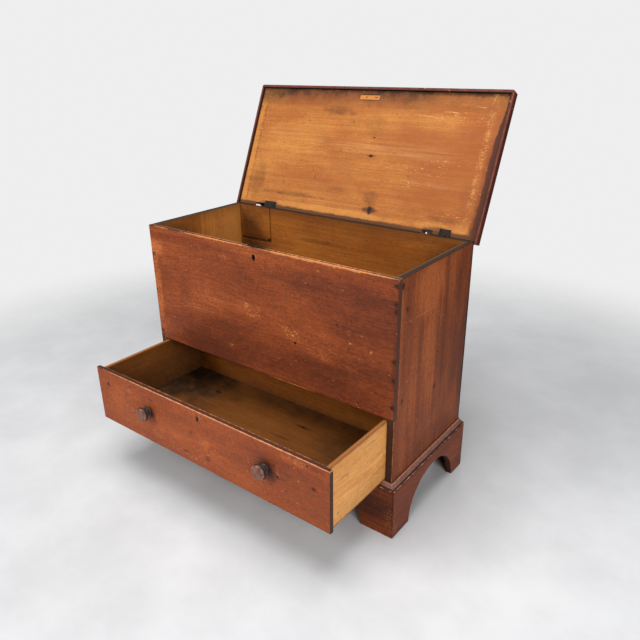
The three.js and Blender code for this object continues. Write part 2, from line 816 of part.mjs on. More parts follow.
// The lid's pieces turn about the hinge pins, so their group stands on that axis
const lidGroup = new THREE.Group();
const lidPieces = [
  part('lid_board', lidBoard(), 'agedPine'),
  part('lid_front_moulding', lidFrontMoulding(), 'darkRedPaint'),
  ...SIDES.map(([name, side]) => (
    part(`lid_${name}_moulding`, lidSideMoulding(side), 'darkRedPaint'))),
  ...HINGES.map((hinge) => part(`${hinge.name}_lid_leaf`, lidLeaf(hinge), 'oldIron')),
  ...hingeScrewPlaces().map(([x, name]) => part(`${name}_lid`, lidScrewSolid(x, 0), 'oldIron')),
];
for (const piece of lidPieces) {
  piece.position.set(0, -hingeY, -hingeZ);
  lidGroup.add(piece);
}
lidGroup.position.set(0, hingeY, hingeZ);
lidGroup.rotation.x = -openAngle;

const drawerGroup = new THREE.Group();
drawerGroup.add(
  part('drawer_front', drawerFront(), 'redPaint'),
  ...SIDES.map(([name, side]) => part(`drawer_${name}_side`, drawerSide(side), 'palePine')),
  part('drawer_back', drawerBack(), 'agedPine'),
  part('drawer_bottom', drawerBottom(), 'agedPine'),
  ...knobPlaces().map(([name, x]) => part(`drawer_${name}_knob`, drawerKnob(x), 'knobWood')));
drawerGroup.position.set(0, -drawerTravel - seam, 0);

// The origin is the middle of the footprint that the open chest takes up, on the floor
const chest = new THREE.Group();
chest.add(caseGroup, lidGroup, drawerGroup);
chest.updateMatrixWorld(true);
const bounds = new THREE.Box3().setFromObject(chest, true);
const middle = bounds.getCenter(new THREE.Vector3());
chest.position.set(-middle.x, -middle.y, -bounds.min.z);
chest.updateMatrixWorld(true);

export default chest;
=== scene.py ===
# %% [markdown]
# # A painted pine blanket chest
# The chest is a nailed pine box in old red paint. Its lid leans back on its stop and its one long drawer
# stands open. The CAD model already holds every piece at its real size, so this file only dresses it:
# each board gets soft, worn edges and a finish that is worked out from the board's own place and grain.

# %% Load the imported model
import json
import math

import bpy
from mathutils import Matrix, Vector, noise

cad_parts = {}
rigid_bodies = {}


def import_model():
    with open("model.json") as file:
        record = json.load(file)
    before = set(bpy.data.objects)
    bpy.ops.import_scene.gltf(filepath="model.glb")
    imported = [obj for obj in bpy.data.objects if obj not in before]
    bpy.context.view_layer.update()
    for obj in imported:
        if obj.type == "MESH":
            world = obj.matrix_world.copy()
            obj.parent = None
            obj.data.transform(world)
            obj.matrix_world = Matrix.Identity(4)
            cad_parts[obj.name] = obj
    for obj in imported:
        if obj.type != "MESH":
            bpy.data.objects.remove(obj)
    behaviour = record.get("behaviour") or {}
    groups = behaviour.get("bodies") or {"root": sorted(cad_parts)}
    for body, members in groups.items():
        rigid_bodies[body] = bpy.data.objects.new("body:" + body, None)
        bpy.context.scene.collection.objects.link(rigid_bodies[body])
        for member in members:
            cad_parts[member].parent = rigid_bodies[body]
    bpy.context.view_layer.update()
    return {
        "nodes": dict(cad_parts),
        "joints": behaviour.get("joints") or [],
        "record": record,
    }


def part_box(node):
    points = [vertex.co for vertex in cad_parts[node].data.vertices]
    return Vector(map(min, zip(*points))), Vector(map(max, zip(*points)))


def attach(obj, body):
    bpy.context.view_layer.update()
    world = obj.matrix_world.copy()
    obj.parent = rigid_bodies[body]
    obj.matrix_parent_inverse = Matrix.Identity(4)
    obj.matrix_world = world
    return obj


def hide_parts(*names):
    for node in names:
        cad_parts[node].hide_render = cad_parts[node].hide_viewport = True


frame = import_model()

nodes = frame["nodes"]
lid_joint = next(joint for joint in frame["joints"] if joint["name"] == "lid_hinge")
hinge = Vector(lid_joint["pos_m"])
open_angle = math.radians(lid_joint["range_deg"][1])
print("nodes", len(nodes), "lid open by", round(math.degrees(open_angle), 1), "degrees")

# %% [markdown]
# ## Camera
# The camera stands where the photographer's stood: a little above the open lid's middle, in front of the
# right corner, looking down. Its place and lens come from matching the corners of the chest.

# %% Camera
camera_place = (1.24513, -1.47636, 1.34096)
camera_turn = (1.16982, 0.0109, 0.65002)
lens_mm = 34.778
sensor_mm = 36

camera_data = bpy.data.cameras.new("photo_camera")
camera_data.lens = lens_mm
camera_data.sensor_width = sensor_mm
camera = bpy.data.objects.new("photo_camera", camera_data)
camera.location = camera_place
camera.rotation_euler = camera_turn
bpy.context.scene.collection.objects.link(camera)
bpy.context.scene.camera = camera
bpy.context.scene.view_settings.view_transform = "Standard"
print("camera at", [round(v, 3) for v in camera.location])


# %% [markdown]
# ## Short calls for node trees
# A procedural finish is a tree of many small nodes. These calls add one node each and join it up at once,
# so that a finish further down reads like its recipe. A value may be a number, a colour or a socket.

# %% Helpers for node trees
def tint(red, green, blue):
    """A colour as a paint card gives it, 0 to 255, turned into the renderer's linear light."""
    shares = [value / 255 for value in (red, green, blue)]
    linear = [s / 12.92 if s <= 0.04045 else ((s + 0.055) / 1.055) ** 2.4 for s in shares]
    return (*linear, 1.0)


class Flow:
    """A value on its way through a node tree. Each sign between two values adds its own maths node."""

    def __init__(self, sheet, socket):
        self.sheet = sheet
        self.socket = socket

    def __add__(self, other):
        return self.sheet.math("ADD", self, other)

    def __sub__(self, other):
        return self.sheet.math("SUBTRACT", self, other)

    def __rsub__(self, other):
        return self.sheet.math("SUBTRACT", other, self)

    def __mul__(self, other):
        return self.sheet.math("MULTIPLY", self, other)

    def __truediv__(self, other):
        return self.sheet.math("DIVIDE", self, other)

    def __abs__(self):
        return self.sheet.math("ABSOLUTE", self)

    __radd__ = __add__
    __rmul__ = __mul__


class Sheet:
    """One node tree with short calls that add a node and join it up."""

    def __init__(self, tree):
        self.tree = tree
        self.count = 0

    def join(self, value, socket):
        if isinstance(value, Flow):
            self.tree.links.new(value.socket, socket)
        else:
            socket.default_value = value

    def node(self, kind, values=None, **settings):
        """A new node with its settings, and with values for its inputs by number or name."""
        made = self.tree.nodes.new(kind)
        made.location = (170 * (self.count % 12), -220 * (self.count // 12))
        self.count += 1
        for name, value in settings.items():
            setattr(made, name, value)
        for key, value in (values or {}).items():
            self.join(value, made.inputs[key])
        return made

    def add(self, kind, values, result=0, **settings):
        """A new node's one result."""
        return Flow(self, self.node(kind, values, **settings).outputs[result])

    def flows(self, node):
        """All the results of a node, by name."""
        return {socket.name: Flow(self, socket) for socket in node.outputs}

    def group(self, tree, **values):
        return self.flows(self.node("ShaderNodeGroup", values, node_tree=tree))

    def split(self, place):
        return self.flows(self.node("ShaderNodeSeparateXYZ", {0: place}))

    def math(self, operation, *values, clamp=False):
        return self.add("ShaderNodeMath", dict(enumerate(values)), operation=operation, use_clamp=clamp)

    def vector(self, operation, *values):
        result = "Value" if operation in ("LENGTH", "DOT_PRODUCT") else "Vector"
        return self.add("ShaderNodeVectorMath", dict(enumerate(values)), result, operation=operation)

    def most(self, first, *others):
        for other in others:
            first = self.math("MAXIMUM", first, other)
        return first

    def least(self, first, *others):
        for other in others:
            first = self.math("MINIMUM", first, other)
        return first

    def noise(self, place, scale, detail=2.0, roughness=0.5, distortion=0.0, stretch=None):
        if stretch:
            place = self.vector("MULTIPLY", place, stretch)
        values = {"Scale": scale, "Detail": detail, "Roughness": roughness, "Distortion": distortion}
        return self.add("ShaderNodeTexNoise", {"Vector": place, **values})

    def ease(self, value, start, end, low=0.0, high=1.0):
        """A smooth change from low to high while value goes from start to end."""
        values = {"Value": value, "From Min": start, "From Max": end, "To Min": low, "To Max": high}
        return self.add("ShaderNodeMapRange", values, interpolation_type="SMOOTHSTEP")

    def fade(self, value, start, end, high=1.0):
        """The same change, but down to nothing."""
        return self.ease(value, start, end, high, 0.0)

    def band(self, value, middle, half, soft):
        """A stripe round one height: full within half of the middle and gone soft further out."""
        return self.fade(abs(value - middle), half, half + soft)

    def mix(self, factor, first, second):
        return self.add("ShaderNodeMix", {0: factor, 6: first, 7: second}, 2, data_type="RGBA")

    def lay(self, colour, *coats):
        """Lays tones over a colour one after the other: each is (how much of it, tone)."""
        for share, tone in coats:
            colour = self.mix(share, colour, tone)
        return colour

    def dim(self, colour, strength):
        """The colour times one number that may change over the surface."""
        colour = colour if isinstance(colour, Flow) else colour[:3]
        return self.add("ShaderNodeVectorMath", {0: colour, "Scale": strength}, operation="SCALE")


def new_group(name, takes, gives):
    """An empty node group. Its sockets are numbers, or else their kind follows their name."""
    tree = bpy.data.node_groups.new(name, "ShaderNodeTree")
    for direction, sockets in (("INPUT", takes), ("OUTPUT", gives)):
        for socket in sockets.split():
            title, _, kind = socket.partition(":")
            kind = "NodeSocket" + (kind or "Float")
            tree.interface.new_socket(name=title, in_out=direction, socket_type=kind)
    sheet = Sheet(tree)
    return sheet, sheet.flows(sheet.node("NodeGroupInput")), sheet.node("NodeGroupOutput").inputs


# %% [markdown]
# ## Floor and light
# The chest was photographed in soft daylight that falls from the front left and from above. A pale, faintly
# clouded floor fades out to white far behind the chest, so that nothing draws the eye from any side.

# %% Floor
floor_grey = tint(201, 202, 204)
floor_light_grey = tint(213, 214, 216)
floor_reach = 9
floor_sides = 96
floor_roughness = 0.55
fade_start = 1.35
fade_end = 2.7

bpy.ops.object.select_all(action="DESELECT")
bpy.ops.mesh.primitive_circle_add(vertices=floor_sides, radius=floor_reach, fill_type="NGON")
floor = bpy.context.object
floor.name = "studio_floor"
floor_paint = bpy.data.materials.new("pale floor")
floor_paint.use_nodes = True
sheet = Sheet(floor_paint.node_tree)
shader = floor_paint.node_tree.nodes["Principled BSDF"]
place = sheet.add("ShaderNodeTexCoord", {}, "Object")
clouds = sheet.ease(sheet.noise(place, 3.1, detail=6, roughness=0.62), 0.3, 0.7)
sheet.join(sheet.mix(clouds, floor_grey, floor_light_grey), shader.inputs["Base Color"])
shader.inputs["Roughness"].default_value = floor_roughness
clear = sheet.add("ShaderNodeBsdfTransparent", {})
far = sheet.ease(sheet.vector("LENGTH", place), fade_start, fade_end)
blend = sheet.add("ShaderNodeMixShader", {0: far, 1: Flow(sheet, shader.outputs[0]), 2: clear})
sheet.join(blend, floor_paint.node_tree.nodes["Material Output"].inputs["Surface"])
floor.data.materials.append(floor_paint)
print("floor fades from", fade_start, "to", fade_end, "m")


# %% Light
def soft_light(name, place, target, size, watts, colour=(1, 1, 1)):
    data = bpy.data.lights.new(name, "AREA")
    data.shape = "DISK"
    data.size = size
    data.energy = watts
    data.color = colour
    lamp = bpy.data.objects.new(name, data)
    lamp.location = place
    lamp.rotation_euler = (Vector(target) - Vector(place)).to_track_quat("-Z", "Y").to_euler()
    bpy.context.scene.collection.objects.link(lamp)


chest_middle = (0, 0, 0.5)
soft_light("key_light", (-2.8, -4.4, 3.6), chest_middle, 2.6, 195, (1, 0.985, 0.97))
soft_light("top_light", (0.3, -0.6, 4.2), (0, 0, 0.6), 2.8, 145)
soft_light("fill_light", (4.0, -2.2, 2.2), chest_middle, 2.6, 125)
soft_light("rear_light", (-1.6, 4.6, 3.0), chest_middle, 3.0, 45)

backdrop_strength = 0.86
sky_tint = (0.93, 0.96, 1, 1)
sky_strength = 0.05
world = bpy.data.worlds.new("white studio")
world.use_nodes = True
bpy.context.scene.world = world
sheet = Sheet(world.node_tree)
seen = world.node_tree.nodes["Background"]
seen.inputs["Color"].default_value = (1, 1, 1, 1)
seen.inputs["Strength"].default_value = backdrop_strength
around = sheet.add("ShaderNodeBackground", {"Color": sky_tint, "Strength": sky_strength})
looked_at = sheet.add("ShaderNodeLightPath", {}, "Is Camera Ray")
choose = sheet.add("ShaderNodeMixShader", {0: looked_at, 1: around, 2: Flow(sheet, seen.outputs[0])})
sheet.join(choose, world.node_tree.nodes["World Output"].inputs["Surface"])

# %% [markdown]
# ## Boards and their grain
# Every board has a length along its grain, a width and a face. Knowing these three directions, one finish
# can be laid on any board in the same words: so far along, so far across, so deep below the face. The sizes
# are read from the CAD node, also for the lid, which leans.

# %% Where each board lies
X = Vector((1, 0, 0))
Y = Vector((0, 1, 0))
Z = Vector((0, 0, 1))
lid_turn = Matrix.Rotation(-open_angle, 3, "X")
lid_up = lid_turn @ -Y


class Board:
    """A board's own directions (along, across, out of its face), its middle and its half sizes."""

    def __init__(self, node, along, across):
        self.turn = Matrix((along, across, along.cross(across))).transposed()
        corners = [self.turn.transposed() @ vertex.co for vertex in nodes[node].data.vertices]
        low = Vector([min(corner[i] for corner in corners) for i in range(3)])
        high = Vector([max(corner[i] for corner in corners) for i in range(3)])
        self.node = node
        self.half = (high - low) / 2
        self.centre = self.turn @ ((low + high) / 2)

    def local(self, point):
        return self.turn.transposed() @ (Vector(point) - self.centre)


LAID = (
    (X, Z, "front_board back_upper_board back_lower_board base_rail front_bracket front_base_moulding"),
    (X, Z, "drawer_front drawer_back"),
    (X, Y, "well_floor drawer_bay_floor drawer_bottom"),
    (Z, Y, "left_end_board"),
    (Z, -Y, "right_end_board"),
    (-Y, Z, "left_bracket left_base_moulding drawer_left_side"),
    (Y, Z, "right_bracket right_base_moulding drawer_right_side"),
    (Z, X, "left_rear_brace right_rear_brace left_corner_block right_corner_block"),
    (X, lid_up, "lid_board lid_front_moulding"),
    (lid_up, -X, "lid_left_moulding lid_right_moulding"),
)
boards = {node: Board(node, along, across) for along, across, names in LAID for node in names.split()}


def upright(y):
    """Gives places on an upright board by their x and z."""
    return lambda x, z: Vector((x, y, z))


def lid_point(along, up):
    """A place on the lid: along the chest's width from its middle, and up from the hinge line."""
    return hinge + X * along + lid_up * up


for name in ("front_board", "lid_board", "drawer_front"):
    print(name, "half sizes in mm", [round(v * 1000, 1) for v in boards[name].half])

# %% [markdown]
# ## Grain, edges and marks as node groups
# Pine shows the tree's yearly rings: wide pointed arches where the saw passed near the heart and straight
# lines further out. The group below measures how far a point is from that heart, which wanders slowly
# along the board, and draws a dark line once in every ring. Fine fibres and broad clouds go with it.

# %% Group: pine figure
sheet, given, out = new_group(
    "pine figure", "Vector:Vector Seed Ring Depth", "Rings Fibres Clouds Streaks Lines")
offset = {axis: given["Seed"] * share for axis, share in enumerate((3.1, 1.7, 0.9))}
moved = sheet.vector("ADD", given["Vector"], sheet.add("ShaderNodeCombineXYZ", offset))
wander = sheet.noise(moved, 1, detail=1, stretch=(1.6, 0, 0)) * 0.3 - 0.15
ripple = sheet.noise(moved, 1, detail=2, stretch=(2.2, 13, 13)) * 0.01 - 0.005
parts = sheet.split(given["Vector"])
side = parts["Y"] + wander
deep = parts["Z"] + given["Depth"]
reach = sheet.math("SQRT", side * side + deep * deep) + ripple
ring = sheet.math("FRACT", reach / given["Ring"])
sheet.join(sheet.ease(ring, 0.3, 0.9) * sheet.fade(ring, 0.9, 1.0), out["Rings"])
sheet.join(sheet.noise(moved, 1, detail=2, stretch=(9, 620, 620)), out["Fibres"])
sheet.join(sheet.noise(moved, 1, detail=4, roughness=0.62, stretch=(2.4, 7.5, 7.5)), out["Clouds"])
sheet.join(sheet.noise(moved, 1, detail=3, stretch=(1.6, 75, 75)), out["Streaks"])
sheet.join(sheet.noise(moved, 1, detail=3, stretch=(5, 190, 190)), out["Lines"])
pine_figure = sheet.tree

# %% [markdown]
# A worn arris is where two faces of a board meet, so the finish must know how far it is from one. On a
# board's surface one of the three distances to its sides is nil, and the middle one of the three is then
# the distance to the nearest arris.

# %% Group: distance to the nearest arris
sheet, given, out = new_group("arris distance", "Vector:Vector Half:Vector", "Distance")
room = sheet.vector("SUBTRACT", given["Half"], sheet.vector("ABSOLUTE", given["Vector"]))
gaps = sheet.split(room).values()
total = sheet.vector("DOT_PRODUCT", room, (1, 1, 1))
sheet.join(total - sheet.least(*gaps) - sheet.most(*gaps), out["Distance"])
arris_distance = sheet.tree

# %% [markdown]
# Stains, rubbed patches, knots and nail rust are all soft spots: an oval with a ragged rim. Each is laid over
# the ones before it, and the stronger of the two shows. The rim's noise comes from outside, so that all the
# marks of one size on a board share it. Specks are the small chips that old paint sheds.

# %% Groups: soft spots and specks
sheet, given, out = new_group(
    "soft spot", "Vector:Vector Centre:Vector Radii:Vector Rag Ragged Strength Before", "Mask Reach")
away = sheet.vector("DIVIDE", sheet.vector("SUBTRACT", given["Vector"], given["Centre"]), given["Radii"])
worn = (given["Rag"] - 0.5) * given["Ragged"] + sheet.vector("LENGTH", away)
mask = sheet.fade(worn, 0.35, 1.0) * given["Strength"]
sheet.join(sheet.most(mask, given["Before"]), out["Mask"])
sheet.join(worn, out["Reach"])
soft_spot = sheet.tree

sheet, given, out = new_group("specks", "Vector:Vector Cell Amount", "Mask")
scaled = sheet.vector("DIVIDE", given["Vector"], given["Cell"])
wobble = sheet.add("ShaderNodeTexNoise", {"Vector": scaled, "Scale": 1.3, "Detail": 2}, "Color")
pushed = sheet.vector("ADD", scaled, sheet.vector("MULTIPLY", wobble, (1.1, 0.8, 0.8)))
cells = sheet.flows(sheet.node("ShaderNodeTexVoronoi", {"Vector": pushed, "Scale": 1}))
chance = sheet.flows(sheet.node("ShaderNodeSeparateColor", {0: cells["Color"]}))
picked = sheet.math("LESS_THAN", chance["Red"], given["Amount"])
width = chance["Green"] * 0.3 + 0.12
sheet.join(picked * sheet.fade(cells["Distance"], width * 0.6, width), out["Mask"])
specks = sheet.tree
print("groups", [tree.name for tree in bpy.data.node_groups])

# %% [markdown]
# ## Old red paint
# The paint is thin iron red over bare pine. It has gone purplish where it is thick and orange where it is
# rubbed thin, and the grain shows through it. Dirt draws a dark line along every arris, and only where hands,
# the lid or the drawer have rubbed is the arris worn down to the wood. The recipe goes from the broad clouds
# of colour to the fine streaks, then lays the dirt and takes paint away at specks and rubbed places.

# %% Group: old red paint
sheet, given, out = new_group(
    "old red paint",
    "Vector:Vector Rings Fibres Clouds Streaks Lines Edge Thin:Color Middle:Color Deep:Color Wood:Color Line"
    " Wear Rub Chips Flaked Light Dark Streakiness",
    "Color:Color Bare Roughness Height")
place = given["Vector"]
tone = given["Clouds"] * 0.8 + 0.1 + given["Light"] * 0.34 - given["Dark"] * 0.3
fine = sheet.noise(place, 46, detail=5, roughness=0.72)
tone = tone + (fine * 0.34 - 0.17)
tone = tone + (given["Streaks"] - 0.5) * given["Streakiness"]
tone = tone + (given["Lines"] * 0.3 - 0.15)
grit_place = sheet.vector("MULTIPLY", place, (95.0, 190.0, 190.0))
grit = sheet.noise(grit_place, 1.0, detail=4, roughness=0.75)
tone = tone + (grit * 0.5 - 0.25)
colour = sheet.mix(sheet.ease(tone, 0.14, 0.58), given["Deep"], given["Middle"])
colour = sheet.mix(sheet.ease(tone, 0.46, 0.86), colour, given["Thin"])
mottle = sheet.noise(place, 115, detail=5, roughness=0.8)
shade = (given["Fibres"] * 0.3 + 0.85) * (given["Rings"] * -0.17 + 1.05)
shade = shade * (grit * 0.4 + 0.8) * (mottle * 0.7 + 0.65) * (given["Lines"] * 0.2 + 0.9)
colour = sheet.dim(colour, shade)
dark_specks = sheet.group(specks, Vector=place, Cell=0.0085, Amount=0.12)["Mask"]
colour = sheet.mix(dark_specks * 0.68, colour, sheet.dim(given["Deep"], 0.36))
patchy = sheet.ease(sheet.noise(place, 14, detail=3), 0.35, 0.65)
pits = sheet.ease(sheet.noise(grit_place, 0.9, detail=3, roughness=0.7), 0.4, 0.34)
pits = pits * (patchy * 0.5 + 0.15)
colour = sheet.mix(pits, colour, sheet.dim(given["Deep"], 0.5))
edge_rag = sheet.noise(place, 75, detail=5, roughness=0.7)
line_end = given["Line"] * sheet.ease(edge_rag, 0.3, 0.7, 0.4, 1.6)
grime = sheet.fade(given["Edge"], line_end * 0.4, line_end)
colour = sheet.mix(grime * 0.72, colour, sheet.dim(given["Deep"], 0.3))
clusters = sheet.ease(sheet.noise(place, 9, detail=2), 0.45, 0.72)
amount = given["Chips"] * (clusters * 0.9 + 0.1)
chips = sheet.group(specks, Vector=place, Cell=0.0065, Amount=amount)["Mask"]
limit = given["Wear"] * given["Rub"] * sheet.ease(edge_rag, 0.32, 0.68, 0.45, 1.45)
rubbed = sheet.fade(given["Edge"], limit * 0.55, limit)
flecks = sheet.noise(place, 1, detail=3, roughness=0.65, distortion=0.6, stretch=(130, 200, 200))
flaked = sheet.math("MULTIPLY", sheet.ease(flecks, 0.52, 0.62), given["Flaked"], clamp=True)
tiny = sheet.math("MULTIPLY", sheet.ease(flecks, 0.68, 0.74), given["Chips"] * 1.8, clamp=True)
bare = sheet.most(chips * 0.7, rubbed * 0.92, flaked, tiny)
wood = sheet.dim(given["Wood"], given["Fibres"] * 0.5 + 0.72)
sheet.join(sheet.mix(bare, colour, wood), out["Color"])
sheet.join(bare, out["Bare"])
sheet.join(bare * 0.18 + fine * 0.26 + 0.46, out["Roughness"])
height = given["Fibres"] * 0.35 - given["Rings"] * 0.25 - chips * 0.6
sheet.join(fine * 0.4 + height, out["Height"])
old_red_paint = sheet.tree

# %% [markdown]
# ## Bare pine
# Inside the chest the pine was never painted. A century of air has turned it amber, dirt has gathered in
# the corners, and short dark dashes of resin run with the grain.

# %% Group: bare pine
sheet, given, out = new_group(
    "bare pine",
    "Vector:Vector Rings Fibres Clouds Streaks Lines Figure Pale:Color Amber:Color Line:Color Dirt:Color"
    " Light Dark",
    "Color:Color Roughness Height")
place = given["Vector"]
tone = given["Clouds"] + given["Light"] * 0.42
tone = tone + given["Streaks"] * 0.4 + given["Lines"] * 0.3 - 0.35
grit_place = sheet.vector("MULTIPLY", place, (60.0, 210.0, 210.0))
grit = sheet.noise(grit_place, 1.0, detail=4, roughness=0.75)
tone = tone + (grit * 0.6 - 0.3)
colour = sheet.mix(sheet.ease(tone, 0.28, 0.88), given["Amber"], given["Pale"])
mottle = sheet.noise(place, 130, detail=4, roughness=0.8)
smudges = sheet.noise(place, 17, detail=6, roughness=0.72)
colour = sheet.dim(colour, (mottle * 0.56 + 0.72) * (smudges * 0.44 + 0.78))
line = given["Rings"] * sheet.ease(given["Clouds"], 0.25, 0.75, 1.0, 0.4)
colour = sheet.mix(line * given["Figure"], colour, given["Line"])
colour = sheet.dim(colour, given["Fibres"] * 0.3 + 0.85)
dashes = sheet.ease(sheet.noise(place, 1, detail=1, stretch=(38, 560, 560)), 0.7, 0.78)
colour = sheet.mix(dashes * 0.45, colour, given["Line"])
patchy = sheet.ease(sheet.noise(place, 11, detail=3), 0.35, 0.65)
pits = sheet.ease(sheet.noise(grit_place, 0.8, detail=3, roughness=0.7), 0.38, 0.3)
pits = pits * (patchy * 0.35 + 0.1)
colour = sheet.mix(pits, colour, given["Dirt"])
grime_rag = sheet.noise(place, 24, detail=5, roughness=0.68)
grime = sheet.math("MULTIPLY", given["Dark"], sheet.ease(grime_rag, 0.2, 0.75, 0.55, 1.15), clamp=True)
colour = sheet.mix(grime, colour, given["Dirt"])
stains = sheet.group(specks, Vector=place, Cell=0.014, Amount=0.05)["Mask"]
sheet.join(sheet.mix(stains * 0.4, colour, given["Dirt"]), out["Color"])
sheet.join(grime_rag * 0.25 + 0.5, out["Roughness"])
sheet.join(given["Fibres"] * 0.5 + given["Rings"] * 0.3 - dashes * 0.4, out["Height"])
bare_pine = sheet.tree
print("groups", [tree.name for tree in bpy.data.node_groups])

# %% [markdown]
# A scratch is a thin broken line between two places. The group measures how far a point on the board's face
# is from that line.

# %% Group: one scratch
sheet, given, out = new_group(
    "one scratch", "Vector:Vector From:Vector Toward:Vector Length Width Strength Before", "Mask")
away = sheet.vector("SUBTRACT", given["Vector"], given["From"])
away = sheet.vector("MULTIPLY", away, (1.0, 1.0, 0.0))
along = sheet.vector("DOT_PRODUCT", away, given["Toward"])
held = sheet.least(sheet.most(along, 0.0), given["Length"])
reach = sheet.vector("LENGTH", sheet.vector("SUBTRACT", away, sheet.dim(given["Toward"], held)))
line = sheet.fade(reach, given["Width"] * 0.3, given["Width"])
broken = sheet.ease(sheet.noise(given["Vector"], 110, detail=2), 0.38, 0.56)
mask = line * broken * given["Strength"]
sheet.join(sheet.most(mask, given["Before"]), out["Mask"])
one_scratch = sheet.tree

# %% [markdown]
# ## Finishes
# A finish starts from a board: a Mapping node turns Object coordinates into that board's own directions.
# Marks that the real chest has in one place, such as a knot or a rubbed corner, are soft spots with their
# place in metres.

# %% Palette
def tones(names, **rows):
    """Each row's colours, 0 to 255, under the names that the paint or the wood takes them by."""
    return {key: {name: tint(*row) for name, row in zip(names, colours)} for key, colours in rows.items()}


palette = tones(
    ("Thin", "Middle", "Deep"),
    front=((184, 100, 54), (148, 72, 36), (104, 50, 30)),
    drawer=((180, 93, 44), (152, 73, 34), (116, 56, 32)),
    side=((172, 92, 46), (134, 67, 34), (94, 46, 25)),
    # A darker copy of the bracket paint, for painted shade on the front of the base and on the braces
    base=((146, 67, 28), (108, 48, 17), (66, 30, 11)),
    bracket=((156, 79, 44), (122, 59, 33), (82, 38, 23)),
    trim=((106, 50, 35), (86, 38, 26), (56, 25, 19)),
    mould=((132, 82, 68), (108, 60, 48), (70, 38, 30)),
)
pine = tones(
    ("Pale", "Amber", "Line", "Dirt"),
    lid=((190, 125, 57), (160, 91, 37), (128, 66, 28), (64, 38, 18)),
    well=((168, 101, 34), (130, 70, 18), (108, 58, 20), (56, 34, 14)),
    end=((180, 118, 54), (140, 82, 30), (112, 62, 24), (60, 36, 16)),
    drawer=((134, 80, 30), (108, 60, 18), (78, 44, 14), (44, 27, 12)),
    pale=((230, 166, 96), (204, 132, 64), (160, 96, 44), (104, 58, 28)),
)
worn_wood = tint(222, 142, 80)
black = tint(14, 9, 7)
# Soot brown, also laid as painted shade along the right end's rear arris, beside the knobs and on the sawn
# faces inside the arches
soot_brown = tint(34, 22, 17)
wood_shine = 0.22
arris_dirt_reach = 0.05
# How coarse a mark's ragged rim is, from the least size of mark that it is for
rag_steps = ((0.06, 10.0), (0.014, 44.0), (0.0, 170.0))


def spots(place_on, *rows):
    """Soft spots from rows of numbers: a place on the board, half length, half width and strength."""
    return [(place_on(first, second), *rest) for first, second, *rest in rows]


def strokes(place_on, *rows):
    """Scratches from rows of numbers: two places on the board and a strength."""
    return [(place_on(a, b), place_on(c, d), strength) for a, b, c, d, strength in rows]


